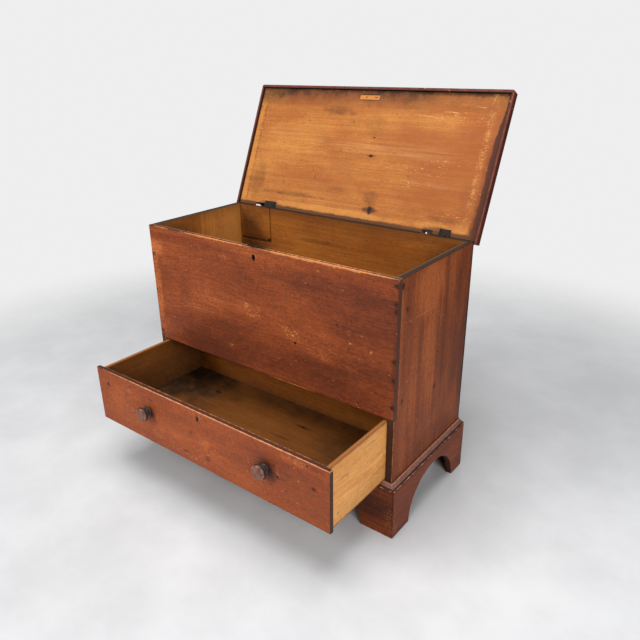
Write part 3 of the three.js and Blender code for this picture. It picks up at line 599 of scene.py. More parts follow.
# %% Finishes on a board
class Finish(Sheet):
    """A material's node tree. On a board it holds the surface's place in the board's own directions, the
    grain there and the distance to the nearest arris."""

    def __init__(self, name, node=None, seed=0.0, ring=0.0055, depth=0.06, shine=wood_shine):
        self.material = bpy.data.materials.new(name)
        self.material.use_nodes = True
        super().__init__(self.material.node_tree)
        self.shader = self.tree.nodes["Principled BSDF"]
        self.shader.inputs["Specular IOR Level"].default_value = shine
        self.place = self.add("ShaderNodeTexCoord", {}, "Object")
        if node:
            self.board = boards[node]
            turn = self.board.turn.to_euler()
            own = {"Vector": self.place, "Location": self.board.centre, "Rotation": turn}
            self.place = self.add("ShaderNodeMapping", own, vector_type="TEXTURE")
            self.grain = self.group(pine_figure, Vector=self.place, Seed=seed, Ring=ring, Depth=depth)
            self.edge = self.group(arris_distance, Vector=self.place, Half=self.board.half)["Distance"]
        self.parts = self.split(self.place)
        self.rims = {}

    def rim_noise(self, long, wide):
        """The noise that frays a mark's rim: coarse for a broad mark and fine for a small one."""
        size = math.sqrt(long * wide)
        scale = next(scale for least, scale in rag_steps if size >= least)
        if scale not in self.rims:
            self.rims[scale] = self.noise(self.place, scale, detail=4, roughness=0.65, stretch=(0.7, 1.4, 1))
        return self.rims[scale]

    def spot(self, point, long, wide, rag, ragged=0.9, strength=1.0, before=0.0):
        return self.group(
            soft_spot, Vector=self.place, Centre=self.board.local(point), Radii=(long, wide, 1.0), Rag=rag,
            Ragged=ragged, Strength=strength, Before=before)

    def marks(self, spots, ragged=0.9):
        """The strongest of several soft spots: each is (point, half length, half width, strength)."""
        mask = 0.0
        for point, long, wide, strength in spots:
            mask = self.spot(point, long, wide, self.rim_noise(long, wide), ragged, strength, mask)["Mask"]
        return mask

    def scratched(self, scratches, width=0.0011):
        """The strongest of several scratches: each is (first point, second point, strength)."""
        mask = 0.0
        for first, second, strength in scratches:
            start = self.board.local(first)
            run = self.board.local(second) - start
            run.z = 0
            mask = self.group(
                one_scratch, Vector=self.place, From=start, Toward=run.normalized(), Length=run.length,
                Width=width, Strength=strength, Before=mask)["Mask"]
        return mask

    def narrow_face(self, axis, sign):
        """Where the surface is one of the board's narrow faces: axis X or Y, sign 1 or -1."""
        level = self.board.half["XYZ".index(axis)]
        return self.ease(self.parts[axis] * sign, level - 0.0024, level - 0.0008)

    def paint(
            self, colours, light=(), dark=(), rub=(), flaked=(), holes=(), scratches=(), soot=(), slack=0.25,
            wear=0.0024, chips=0.16, streaky=0.25, line=0.0022, under=worn_wood, shown=1.0):
        """Old red paint. Slack is how much even an arris that nothing rubs is worn, and shown how much of
        the grain shows through the paint."""
        grain = {"Rings": self.grain["Rings"] * shown, "Clouds": self.grain["Clouds"]}
        for name in ("Fibres", "Streaks", "Lines"):
            grain[name] = self.grain[name] * shown + (0.5 - 0.5 * shown)
        coat = self.group(
            old_red_paint, Vector=self.place, **grain, Edge=self.edge, Wood=under, Wear=wear,
            Rub=self.most(self.marks(rub, ragged=0.5), slack), Chips=chips, Line=line,
            Flaked=self.marks(flaked, ragged=1.2), Light=self.marks(light), Dark=self.marks(dark),
            Streakiness=streaky, **colours)
        colour = self.mix(self.scratched(scratches) * 0.6, coat["Color"], under)
        # The soot marks lay soot and, in some places, painted shade
        soot_and_shade_mask = self.least(self.marks(soot, ragged=1.1), 1.0)
        colour = self.mix(soot_and_shade_mask * 0.85, colour, soot_brown)
        coat["Color"] = self.pierced(colour, holes)
        return coat

    def wood(self, colours, light=0.0, dark=0.0, figure=0.35):
        return self.group(
            bare_pine, Vector=self.place, **self.grain, Figure=figure, Light=light, Dark=dark, **colours)

    def pierced(self, colour, holes, shown=1.0):
        """The colour with black holes in it."""
        return self.mix(self.least(self.marks(holes, ragged=0.6) * shown, 1.0), colour, black)

    def close(self, colour, roughness, height, depth=0.0006):
        """Joins the finish to its shader, with the height as a shallow relief."""
        bump = self.add("ShaderNodeBump", {"Strength": 0.6, "Distance": depth, "Height": height})
        for value, name in ((colour, "Base Color"), (roughness, "Roughness"), (bump, "Normal")):
            self.join(value, self.shader.inputs[name])
        return self.material


# %% Boards painted all over and boards bare all over
def painted_finish(node, seed, colours, extra=None, **coating):
    sheet = Finish(readable(node) + " paint", node, seed)
    coat = sheet.paint(colours, **coating)
    colour = extra(sheet, coat["Color"]) if extra else coat["Color"]
    return sheet.close(colour, coat["Roughness"], coat["Height"])


def bare_finish(
        name, node, seed, colours, dark=(), ring=0.0055, depth=0.06, corner_dirt=0.35, figure=0.35, holes=(),
        all_dark=0.0, one_face=0, top_dirt=0.0):
    """One_face 1 or -1 keeps the marks and holes to the face on that side of the board."""
    sheet = Finish(name, node, seed, ring, depth)
    corners = sheet.ease(sheet.edge, 0.0, arris_dirt_reach, corner_dirt, all_dark)
    shown = sheet.ease(sheet.parts["Z"] * one_face, 0.0, 0.002) if one_face else 1.0
    coat = sheet.wood(colours, 0.0, sheet.most(corners, sheet.marks(dark) * shown), figure)
    colour = sheet.pierced(coat["Color"], holes, shown=shown)
    if top_dirt:
        colour = sheet.mix(sheet.narrow_face("Y", 1) * top_dirt, colour, tint(30, 19, 13))
    return sheet.close(colour, coat["Roughness"], coat["Height"])


# %% [markdown]
# The front, the ends, the drawer front and the lid are painted on one face and bare on the other, so their
# finish mixes the two recipes by depth. The narrow faces tell more of the story: along the top edge hands
# and the lid have rubbed the paint to grey-brown dirt, palest at the inner arris, and the end faces are dark.

# %% Boards painted on their outer face
def rubbed_tone(sheet, dark_tone, pale_tone, pale_share, inner_line):
    """Dirt with pale flecks and a pale line near the arris on the board's bare side."""
    rub = sheet.noise(sheet.place, 1, detail=5, roughness=0.7, stretch=(16, 60, 60))
    flecks = sheet.ease(rub, 0.74 - pale_share * 0.34, 0.84 - pale_share * 0.34)
    line = sheet.band(sheet.parts["Z"] + sheet.board.half.z, 0.003, 0.001, 0.002)
    line = line * sheet.ease(rub, 0.3, 0.5, inner_line * 0.5, inner_line)
    return sheet.mix(sheet.most(flecks * 0.8, line), dark_tone, pale_tone)


def two_sided_finish(
        name, node, seed, colours, inside, inner_dark=(), inner_zone=None, ring=0.0055, depth=0.06,
        narrow=(), **coating):
    """Narrow is a list of faces: (axis, sign, dark tone, pale tone, pale share, inner line, strength)."""
    sheet = Finish(name, node, seed, ring, depth)
    coat = sheet.paint(colours, **coating)
    grime = sheet.most(sheet.fade(sheet.edge, 0.0, arris_dirt_reach, 0.4), sheet.marks(inner_dark))
    lightness = 0.0
    if inner_zone:
        axis, start, end, strength = inner_zone
        lightness = sheet.ease(sheet.parts[axis], start, end) * strength
    wood = sheet.wood(inside, lightness, grime)
    back = -sheet.board.half.z
    painted = sheet.ease(sheet.parts["Z"], back + 0.0006, back + 0.0018)
    colour = sheet.mix(painted, wood["Color"], coat["Color"])
    for axis, sign, *rubbed, strength in narrow:
        keep = sheet.math("MULTIPLY_ADD", coat["Bare"], -0.9, strength, clamp=True)
        colour = sheet.mix(sheet.narrow_face(axis, sign) * keep, colour, rubbed_tone(sheet, *rubbed))
    return sheet.close(colour, coat["Roughness"], coat["Height"])


# %% [markdown]
# ## Softened pieces
# The CAD boards have the right joints but razor edges. A joiner breaks every arris with a plane, and use
# does the rest. So a board starts as a copy of its CAD node with its loose triangles merged, it is cut
# across every few centimetres so that its long edges can vary, and those edges are bevelled by a width that
# wanders along the board.

# %% Helpers for pieces
arris_width = 0.0016
slice_gap = 0.045
shortest_arris = 0.006
wander_scale = 14


def only(piece):
    """Selects one object and nothing else."""
    bpy.ops.object.select_all(action="DESELECT")
    piece.select_set(True)
    bpy.context.view_layer.objects.active = piece
    return piece


def edit(piece):
    only(piece)
    bpy.ops.object.mode_set(mode="EDIT")
    bpy.ops.mesh.select_all(action="SELECT")


def done():
    bpy.ops.object.mode_set(mode="OBJECT")


def settle():
    """Writes the active object's place, turn and size into its mesh."""
    bpy.ops.object.transform_apply(location=True, rotation=True, scale=True)


def smooth(piece, degrees):
    only(piece)
    bpy.ops.object.shade_smooth_by_angle(angle=math.radians(degrees))


def readable(node):
    return node.replace("_", " ")


def worn_pieces(start):
    return [o.name for o in bpy.data.objects if o.name.startswith(start) and o.name.endswith("_worn")]


def apply_modifier(piece, kind, **settings):
    only(piece)
    modifier = piece.modifiers.new(kind.lower(), kind)
    for name, value in settings.items():
        setattr(modifier, name, value)
    bpy.ops.object.modifier_apply(modifier=modifier.name)


def copy_of(node, name):
    """A CAD node's shape as a piece of its own, with its triangles merged into whole faces."""
    source = nodes[node]
    piece = bpy.data.objects.new(name, source.data.copy())
    bpy.context.scene.collection.objects.link(piece)
    edit(piece)
    bpy.ops.mesh.customdata_custom_splitnormals_clear()
    bpy.ops.mesh.remove_doubles(threshold=0.00001)
    bpy.ops.mesh.dissolve_limited(angle_limit=math.radians(1))
    done()
    return piece


def slice_along(piece, direction):
    """Cuts a piece across its grain at even steps."""
    reaches = [vertex.co.dot(direction) for vertex in piece.data.vertices]
    start, end = min(reaches), max(reaches)
    count = max(int((end - start) / slice_gap), 1)
    for step in range(1, count):
        edit(piece)
        bpy.ops.mesh.bisect(plane_co=direction * (start + (end - start) * step / count), plane_no=direction)
        done()


def soften(piece, width=arris_width, segments=2, uneven=0.5):
    """Bevels the long sharp edges by a width that wanders along them."""
    mesh = piece.data
    weights = mesh.attributes.new("bevel_weight_edge", "FLOAT", "EDGE")
    smooth(piece, 30)
    sharp = mesh.attributes.get("sharp_edge")
    for edge in mesh.edges:
        first, second = (mesh.vertices[i].co for i in edge.vertices)
        if sharp is not None and sharp.data[edge.index].value and (first - second).length > shortest_arris:
            middle = (first + second) / 2
            weights.data[edge.index].value = 1 - uneven + uneven * (0.5 + noise.noise(middle * wander_scale))
    apply_modifier(
        piece, "BEVEL", width=width, segments=segments, limit_method="WEIGHT", use_clamp_overlap=False)
    smooth(piece, 50)
    apply_modifier(piece, "WEIGHTED_NORMAL", keep_sharp=True)


def dress(piece, material, body, *replaced):
    """Gives a finished piece its material and its moving body, and hides the CAD nodes that it stands for."""
    piece.data.materials.clear()
    piece.data.materials.append(material)
    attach(piece, body)
    if replaced:
        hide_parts(*replaced)
        parts = frame["record"]["subparts"]
        slot = next(part["material_slot"] for part in parts if part["node"] == replaced[0])
    return piece


def softened_board(node, body, material, width=arris_width):
    piece = copy_of(node, node + "_worn")
    slice_along(piece, boards[node].turn.col[0].copy())
    soften(piece, width)
    return dress(piece, material, body, node)


# %% [markdown]
# ## The case
# Front board, ends and back are the faces that the eye meets first. Most marks listed here are ones that
# the chest has: the pale rubbed patch at the front's left edge, the chips below the keyhole, the rust round
# the nails and the long scratch on the right end. Two dark marks hold painted shade: the broad one over the
# front's right third, which is partly darker paint, and the line along the right end's rear arris.

# %% Front board
front = boards["front_board"]
front_face = front.centre.y - front.half.z
front_top = front.centre.z + front.half.y
front_bottom = front.centre.z - front.half.y
case_side = front.half.x
nail_inset = 0.0095
nail_rust = (0.016, 0.011, 1.6)
right_nails = (0.798, 0.747, 0.726, 0.58, 0.522, 0.436)
left_nails = (0.716, 0.58, 0.422, 0.403)


on_front = upright(front.centre.y)
front_nails = [on_front(case_side - nail_inset, z) for z in right_nails]
front_nails += [on_front(nail_inset - case_side, z) for z in left_nails]
front_light = spots(
    on_front, (-0.484, 0.735, 0.05, 0.04, 0.9), (-0.488, 0.58, 0.035, 0.14, 0.7),
    (-0.05, 0.6, 0.09, 0.05, 0.2), (0.13, 0.57, 0.09, 0.05, 0.2), (0.25, 0.53, 0.07, 0.03, 0.2),
    (-0.3, 0.62, 0.24, 0.15, 0.25))
front_flaked = spots(
    on_front, (-0.482, 0.738, 0.045, 0.03, 0.8), (-0.486, 0.68, 0.028, 0.06, 0.6),
    (-0.488, 0.57, 0.026, 0.1, 0.7), (-0.484, 0.47, 0.03, 0.06, 0.4), (-0.053, 0.618, 0.016, 0.015, 1.6),
    (-0.02, 0.602, 0.045, 0.03, 0.75), (0.104, 0.576, 0.015, 0.022, 1.6), (0.138, 0.565, 0.04, 0.026, 0.9),
    (0.245, 0.53, 0.05, 0.02, 0.4), (-0.136, 0.458, 0.018, 0.01, 0.6), (0.344, 0.628, 0.009, 0.011, 1.0),
    (0.348, 0.598, 0.007, 0.008, 1.4), (0.418, 0.587, 0.007, 0.008, 1.3), (-0.15, 0.765, 0.03, 0.02, 0.35))
# Stains, nail rust and darker paint; the broad spot over the right third is partly painted shade, light
# falling off to the right
front_dark_and_shade = spots(
    on_front, (-0.31, 0.784, 0.25, 0.024, 0.6), (0.2, 0.752, 0.2, 0.04, 0.5), (0.52, 0.6, 0.36, 0.36, 0.8),
    (0.12, 0.4, 0.85, 0.24, 0.72), (-0.2, 0.66, 0.3, 0.08, 0.2), (0.497, 0.6, 0.018, 0.24, 1.2),
    (0.24, 0.528, 0.03, 0.008, 0.6), (-0.34, 0.63, 0.05, 0.05, 0.4))
front_dark_and_shade += [(point, *nail_rust) for point in front_nails]
front_rub = spots(
    on_front, (-0.18, front_top, 0.19, 0.02, 1.5), (0.25, front_top, 0.3, 0.02, 2.3),
    (-0.44, front_top, 0.05, 0.02, 0.7), (0.125, front_bottom, 0.12, 0.02, 1.0),
    (-0.3, front_bottom, 0.1, 0.02, 0.5), (-case_side, 0.74, 0.02, 0.06, 0.8),
    (-case_side, 0.57, 0.02, 0.14, 0.6))
front_holes = spots(on_front, (-0.0105, 0.786, 0.0085, 0.013, 1.4), (0.145, 0.542, 0.006, 0.0055, 1.2))
front_scratches = strokes(
    on_front, (0.105, 0.585, 0.112, 0.562, 1.0), (0.13, 0.575, 0.15, 0.555, 0.8),
    (-0.05, 0.622, -0.058, 0.61, 1.0), (-0.3, 0.662, -0.26, 0.634, 0.3))
grey_mauve = tint(138, 98, 76)
lip_brown = tint(64, 42, 33)
front_soot = [(on_front(0.496, z), 0.012, 0.014, 0.7) for z in right_nails]
front_finish = two_sided_finish(
    "front board paint", "front_board", 1.0, palette["front"], pine["well"], light=front_light,
    dark=front_dark_and_shade, rub=front_rub, flaked=front_flaked, holes=front_holes, scratches=front_scratches,
    soot=front_soot, shown=0.7, wear=0.003, chips=0.08, streaky=0.22, line=0.003, slack=0.1, depth=0.09,
    ring=0.0075,
    narrow=[
        ("Y", 1, tint(64, 46, 40), grey_mauve, 0.4, 0.9, 1.0),
        ("X", 1, tint(78, 48, 37), tint(122, 82, 62), 0.4, 0.0, 0.85),
        ("X", -1, tint(96, 58, 46), tint(150, 98, 74), 0.3, 0.0, 0.75),
    ])
softened_board("front_board", "case", front_finish)

# %% End boards
def on_end(y, z, side=1):
    """A place on an end board's outside, y measured back from the case's front face."""
    return Vector((side * case_side, front_face + y, z))


end_nails = ((0.021, 0.794), (0.047, 0.719), (0.239, 0.403), (0.039, 0.442))
stained_nails = [(*nail, 0.012, 0.012, 1.4) for nail in end_nails]
sunk_nails = [(*nail, 0.0045, 0.0045, 0.8) for nail in end_nails]
end_light = spots(
    on_end, (0.2, 0.5, 0.32, 0.05, 0.45), (0.18, 0.74, 0.1, 0.14, 0.8), (0.1, 0.45, 0.3, 0.03, 0.45),
    (0.02, 0.6, 0.3, 0.012, 0.4), (0.05, 0.3, 0.16, 0.05, 0.3))
end_dark = spots(
    on_end, (0.28, 0.6, 0.3, 0.03, 0.6), (0.36, 0.58, 0.34, 0.05, 0.45), (0.43, 0.5, 0.4, 0.04, 0.6),
    (0.22, 0.72, 0.14, 0.07, 0.15), (0.24, 0.22, 0.06, 0.24, 0.4), *stained_nails)
end_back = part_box("right_end_board")[1].y - front_face
# The long dark line along the rear arris is painted shade; the small mark by the top front nail is soot
end_soot = spots(on_end, (end_back - 0.003, 0.5, 0.6, 0.012, 1.0), (0.021, 0.794, 0.02, 0.006, 0.8))
end_holes = spots(on_end, *sunk_nails)
end_scratches = strokes(on_end, (0.05, 0.681, 0.227, 0.676, 1.0), (0.19, 0.692, 0.23, 0.683, 0.7))
end_rub = spots(
    on_end, (0.0, 0.62, 0.16, 0.02, 0.4), (0.0, 0.3, 0.2, 0.02, 0.35), (0.448, 0.5, 0.1, 0.02, 0.4))
end_top = ("X", 1, tint(50, 38, 32), tint(116, 90, 72), 0.3, 0.5, 1.0)
jamb = ("Y", 1, tint(50, 33, 27), tint(96, 66, 54), 0.2, 0.0, 0.9)
end_look = {"wear": 0.003, "chips": 0.1, "streaky": 0.35, "line": 0.004, "slack": 0.12, "ring": 0.006}
end_finish = two_sided_finish(
    "right end paint", "right_end_board", 4.0, palette["side"], pine["well"], light=end_light, dark=end_dark,
    rub=end_rub, holes=end_holes, scratches=end_scratches, soot=end_soot, narrow=[end_top, jamb], **end_look)
softened_board("right_end_board", "case", end_finish)


def on_left_end(y, z):
    return on_end(y, z, -1)


left_rub = spots(on_left_end, (0.0, 0.62, 0.16, 0.02, 0.5), (0.0, 0.3, 0.2, 0.02, 0.9))
left_light = spots(on_left_end, (0.25, 0.5, 0.3, 0.06, 0.4))
left_dark = spots(on_left_end, (0.38, 0.55, 0.3, 0.03, 0.6), *stained_nails)
left_holes = spots(on_left_end, *sunk_nails)
left_inner_dark = spots(on_left_end, (0.1, 0.74, 0.12, 0.12, 0.5), (0.2, 0.5, 0.1, 0.2, 0.6))
# The wood is lighter behind the place where a till was
till_reach = 0.222
till_blur = 0.006
till_end = front_face + till_reach - boards["left_end_board"].centre.y
left_end_finish = two_sided_finish(
    "left end paint", "left_end_board", 7.0, palette["side"], pine["end"], rub=left_rub, light=left_light,
    dark=left_dark, holes=left_holes, inner_zone=("Y", till_end - till_blur, till_end + till_blur, 0.55),
    inner_dark=left_inner_dark, narrow=[end_top, ("Y", -1, *jamb[2:])], **end_look)
softened_board("left_end_board", "case", left_end_finish)

# %% Boards inside the case
back = boards["back_upper_board"]
on_back = upright(back.centre.y - back.half.z)
back_dark = spots(
    on_back, (-0.334, 0.69, 0.012, 0.01, 1.2), (-0.42, 0.66, 0.1, 0.22, 0.75), (0.1, 0.5, 0.5, 0.1, 0.5),
    (0.42, 0.7, 0.1, 0.16, 0.4), (-0.1, 0.72, 0.12, 0.012, 0.4), (0.15, 0.64, 0.1, 0.01, 0.45))
back_holes = spots(on_back, (-0.334, 0.69, 0.007, 0.006, 0.9))
back_finish = bare_finish(
    "back board pine", "back_upper_board", 11.0, pine["well"], ring=0.007, depth=0.05, top_dirt=0.95,
    dark=back_dark, holes=back_holes, one_face=1)
softened_board("back_upper_board", "case", back_finish)
plain_inside = (
    "back_lower_board", "well_floor", "drawer_bay_floor", "base_rail", "left_corner_block",
    "right_corner_block")
for index, node in enumerate(plain_inside):
    finish = bare_finish(readable(node) + " pine", node, 13.0 + 2 * index, pine["well"], all_dark=0.15)
    softened_board(node, "case", finish)
print("case pieces", len(worn_pieces("")))

# %% [markdown]
# ## The base
# Four brackets' feet carry the case, with a moulding on top that has collected dust and has a painted
# highlight on its slope. The front of the base and the braces behind the arches take a darker copy of the
# paint: painted shade under the open drawer and the case. Inside the arches the sawn wood is painted nearly
# black as shade, with a thin rubbed line where it meets the face.

# %% Brackets
front_bracket = boards["front_bracket"]
base_face = front_bracket.centre.y - front_bracket.half.z


def shaded_sawn_arch(sheet, colour):
    """Paints shade, a near-black brown, on what the saw left inside the arch and rubs a thin line along the
    arch's outer arris.
    """
    half = sheet.board.half
    gaps = sheet.split(sheet.vector("SUBTRACT", half, sheet.vector("ABSOLUTE", sheet.place)))
    cut = sheet.ease(sheet.least(*gaps.values()), 0.0004, 0.0018)
    depth = half.z - sheet.parts["Z"]
    rag = sheet.ease(sheet.noise(sheet.place, 60, detail=3), 0.35, 0.6, 0.15, 0.75)
    return sheet.lay(
        colour, (cut * sheet.ease(depth, 0.001, 0.0035) * 0.8, soot_brown),
        (cut * sheet.fade(depth, 0.0012, 0.003) * rag, tint(122, 88, 70)))


on_bracket = upright(front_bracket.centre.y)
foot_out = front_bracket.half.x
rubbed_base = tint(184, 104, 58)
bracket_marks = {
    "front_bracket": dict(
        dark=[(on_bracket(x * foot_out, 0.09), 0.16, 0.07, 0.6) for x in (-0.85, 0.85)],
        flaked=[(on_bracket(x * foot_out, 0.06), 0.028, 0.06, 0.6) for x in (-0.985, 0.985)]
        + [(on_bracket(x * foot_out, 0.0), 0.12, 0.014, 0.7) for x in (-0.88, 0.88)],
        rub=[(on_bracket(x * foot_out, 0.0), 0.12, 0.02, 0.5) for x in (-0.88, 0.88)]),
    "left_bracket": dict(),
    "right_bracket": dict(
        dark=[(Vector((foot_out, base_face + 0.06, 0.0)), 0.08, 0.03, 0.8)],
        flaked=[(Vector((foot_out, base_face + 0.006, 0.05)), 0.02, 0.06, 0.6)]),
}
for index, (node, places) in enumerate(bracket_marks.items()):
    # The front bracket takes the darker copy of the paint, painted shade under the open drawer
    tones_here = palette["base"] if node == "front_bracket" else palette["bracket"]
    finish = painted_finish(
        node, 30.0 + index, tones_here, wear=0.004, chips=0.3, streaky=0.35, line=0.0035, slack=0.2,
        extra=shaded_sawn_arch, under=rubbed_base, **places)
    softened_board(node, "case", finish, width=0.0024)


# %% Base mouldings and rear braces
def moulding_shade_and_lines(sheet, colour):
    """Painted shade and dirt in the joint against the wall, a band of dust and painted highlight on the
    slope, a rubbed line on the upper arris, painted shade in the hollow above the bead and along the foot,
    and light dots on the bead.
    """
    total = 2 * sheet.board.half.y
    height = sheet.parts["Y"] + sheet.board.half.y
    rag = sheet.noise(sheet.place, 1, detail=3, stretch=(70, 200, 200))
    dust_and_highlight = sheet.band(height, total * 0.62, total * 0.16, total * 0.1)
    top_line = sheet.band(height, total - 0.0022, 0.0006, 0.0014)
    dots = sheet.band(height, 0.0032, 0.0009, 0.0012)
    # Painted shade: dark at the top against the wall, a dark line in the hollow above the bead and dark along
    # the foot
    return sheet.lay(
        colour,
        (sheet.ease(height, total - 0.0012, total - 0.0004) * 0.7, tint(44, 28, 24)),
        (dust_and_highlight * sheet.ease(rag, 0.3, 0.62, 0.25, 0.8), tint(142, 104, 92)),
        (top_line * sheet.ease(rag, 0.3, 0.6, 0.3, 0.85), tint(180, 130, 100)),
        (sheet.band(height, 0.0058, 0.0009, 0.0014) * 0.8, tint(42, 25, 21)),
        (dots * sheet.ease(rag, 0.5, 0.62) * 0.8, tint(206, 150, 114)),
        (sheet.fade(height, 0.0, 0.0016, 0.85), tint(36, 22, 18)))


for index, node in enumerate(("front_base_moulding", "left_base_moulding", "right_base_moulding")):
    finish = painted_finish(
        node, 40.0 + index, palette["mould" if index else "base"], wear=0.001, chips=0.1, streaky=0.5,
        line=0.0012, slack=0.1, extra=moulding_shade_and_lines)
    softened_board(node, "case", finish, width=0.001)
for index, node in enumerate(("left_rear_brace", "right_rear_brace")):
    shaded = [(boards[node].centre, 0.2, 0.2, 1.0)]
    softened_board(node, "case", painted_finish(node, 50.0 + index, palette["base"], dark=shaded))

# %% [markdown]
# ## The lid
# The lid's underside is the brightest wood of the chest. It has one knot with a dark heart near the middle,
# one with a smoky halo near the hinges, a pale seat where the lock's keeper was, and dirt where hands
# gripped the front edge, with a thin strip of painted shade right along the front moulding.

# %% Marks on the lid board
lid_light = spots(
    lid_point, (0.3, 0.35, 0.13, 0.04, 0.8), (0.31, 0.3, 0.12, 0.05, 0.4), (-0.05, 0.018, 0.5, 0.017, 1.0),
    (0.36, 0.018, 0.14, 0.02, 0.9), (0.45, 0.03, 0.03, 0.03, 0.9), (-0.3, 0.28, 0.24, 0.09, 0.35),
    (0.31, 0.392, 0.024, 0.005, 1.5))
lid_dark = spots(
    lid_point, (-0.13, 0.383, 0.085, 0.026, 0.62), (-0.06, 0.372, 0.03, 0.01, 0.4),
    (-0.3, 0.434, 0.25, 0.014, 0.65), (0.12, 0.436, 0.1, 0.014, 0.8), (0.34, 0.432, 0.2, 0.012, 0.3),
    (0.38, 0.405, 0.12, 0.014, 0.25), (-0.462, 0.42, 0.04, 0.04, 0.55), (0.0, 0.405, 0.016, 0.022, 0.6),
    (0.09, 0.082, 0.04, 0.032, 0.42), (0.1, 0.045, 0.045, 0.012, 0.85), (-0.26, 0.058, 0.2, 0.01, 0.5),
    (-0.06, 0.1, 0.06, 0.01, 0.3), (0.38, 0.047, 0.12, 0.01, 0.55), (-0.343, 0.01, 0.06, 0.018, 0.9),
    (0.36, 0.01, 0.07, 0.018, 0.9), (0.45, 0.405, 0.03, 0.03, 0.3), (0.45, 0.11, 0.05, 0.09, 0.28),
    (-0.43, 0.09, 0.04, 0.09, 0.35), (0.055, 0.33, 0.06, 0.05, 0.16))
lid_red = spots(
    lid_point, (0.325, 0.388, 0.2, 0.018, 0.7), (0.42, 0.2, 0.42, 0.26, 1.2), (0.0, 0.12, 0.3, 0.06, 0.5),
    (-0.1, 0.41, 0.4, 0.05, 0.8), (-0.1, 0.3, 0.3, 0.02, 0.3), (-0.2, 0.2, 0.3, 0.02, 0.2))
lid_haze = spots(
    lid_point, (0.02, 0.262, 0.42, 0.022, 0.8), (0.2, 0.24, 0.26, 0.02, 0.8), (-0.34, 0.3, 0.12, 0.03, 0.5),
    (0.32, 0.15, 0.14, 0.012, 0.6), (0.0, 0.03, 0.3, 0.012, 0.5))
lid_scratches = strokes(
    lid_point, (0.205, 0.377, 0.255, 0.374, 0.8), (0.258, 0.372, 0.295, 0.373, 0.5),
    (0.31, 0.391, 0.345, 0.389, 1.0), (0.12, 0.196, 0.15, 0.194, 0.7), (0.2, 0.158, 0.235, 0.155, 0.8),
    (0.085, 0.127, 0.115, 0.125, 0.9), (0.3, 0.156, 0.302, 0.146, 0.9), (0.035, 0.285, 0.037, 0.262, 0.5),
    (0.03, 0.28, 0.028, 0.255, 0.4), (-0.17, 0.17, -0.17, 0.14, 0.45), (-0.155, 0.168, -0.155, 0.15, 0.3),
    (0.4, 0.412, 0.43, 0.409, 0.7))
# Each knot is its middle, its half length and width, and how far its dark wings reach along the grain
knots = spots(
    lid_point, (0.055, 0.228, 0.0075, 0.0065, 0.024), (0.052, 0.292, 0.0038, 0.0028, 0.008),
    (0.1, 0.042, 0.009, 0.016, 0.032))
lid_flecks = spots(
    lid_point, (0.24, 0.2, 0.2, 0.04, 1.0), (0.3, 0.225, 0.2, 0.02, 0.8), (0.22, 0.15, 0.12, 0.02, 0.9),
    (0.36, 0.375, 0.14, 0.03, 0.8), (0.46, 0.24, 0.03, 0.2, 0.8), (-0.46, 0.28, 0.03, 0.2, 0.7),
    (-0.15, 0.25, 0.3, 0.05, 0.4), (0.4, 0.05, 0.1, 0.05, 0.9))
old_beds = spots(lid_point, (-0.394, -0.002, 0.034, 0.02, 2.0), (0.334, -0.002, 0.03, 0.02, 2.0))
seat_reach = (-0.042, 0.036)
seat_rise = (0.421, 0.441)
seat_holes = ((-0.02, 0.431), (0.022, 0.431))


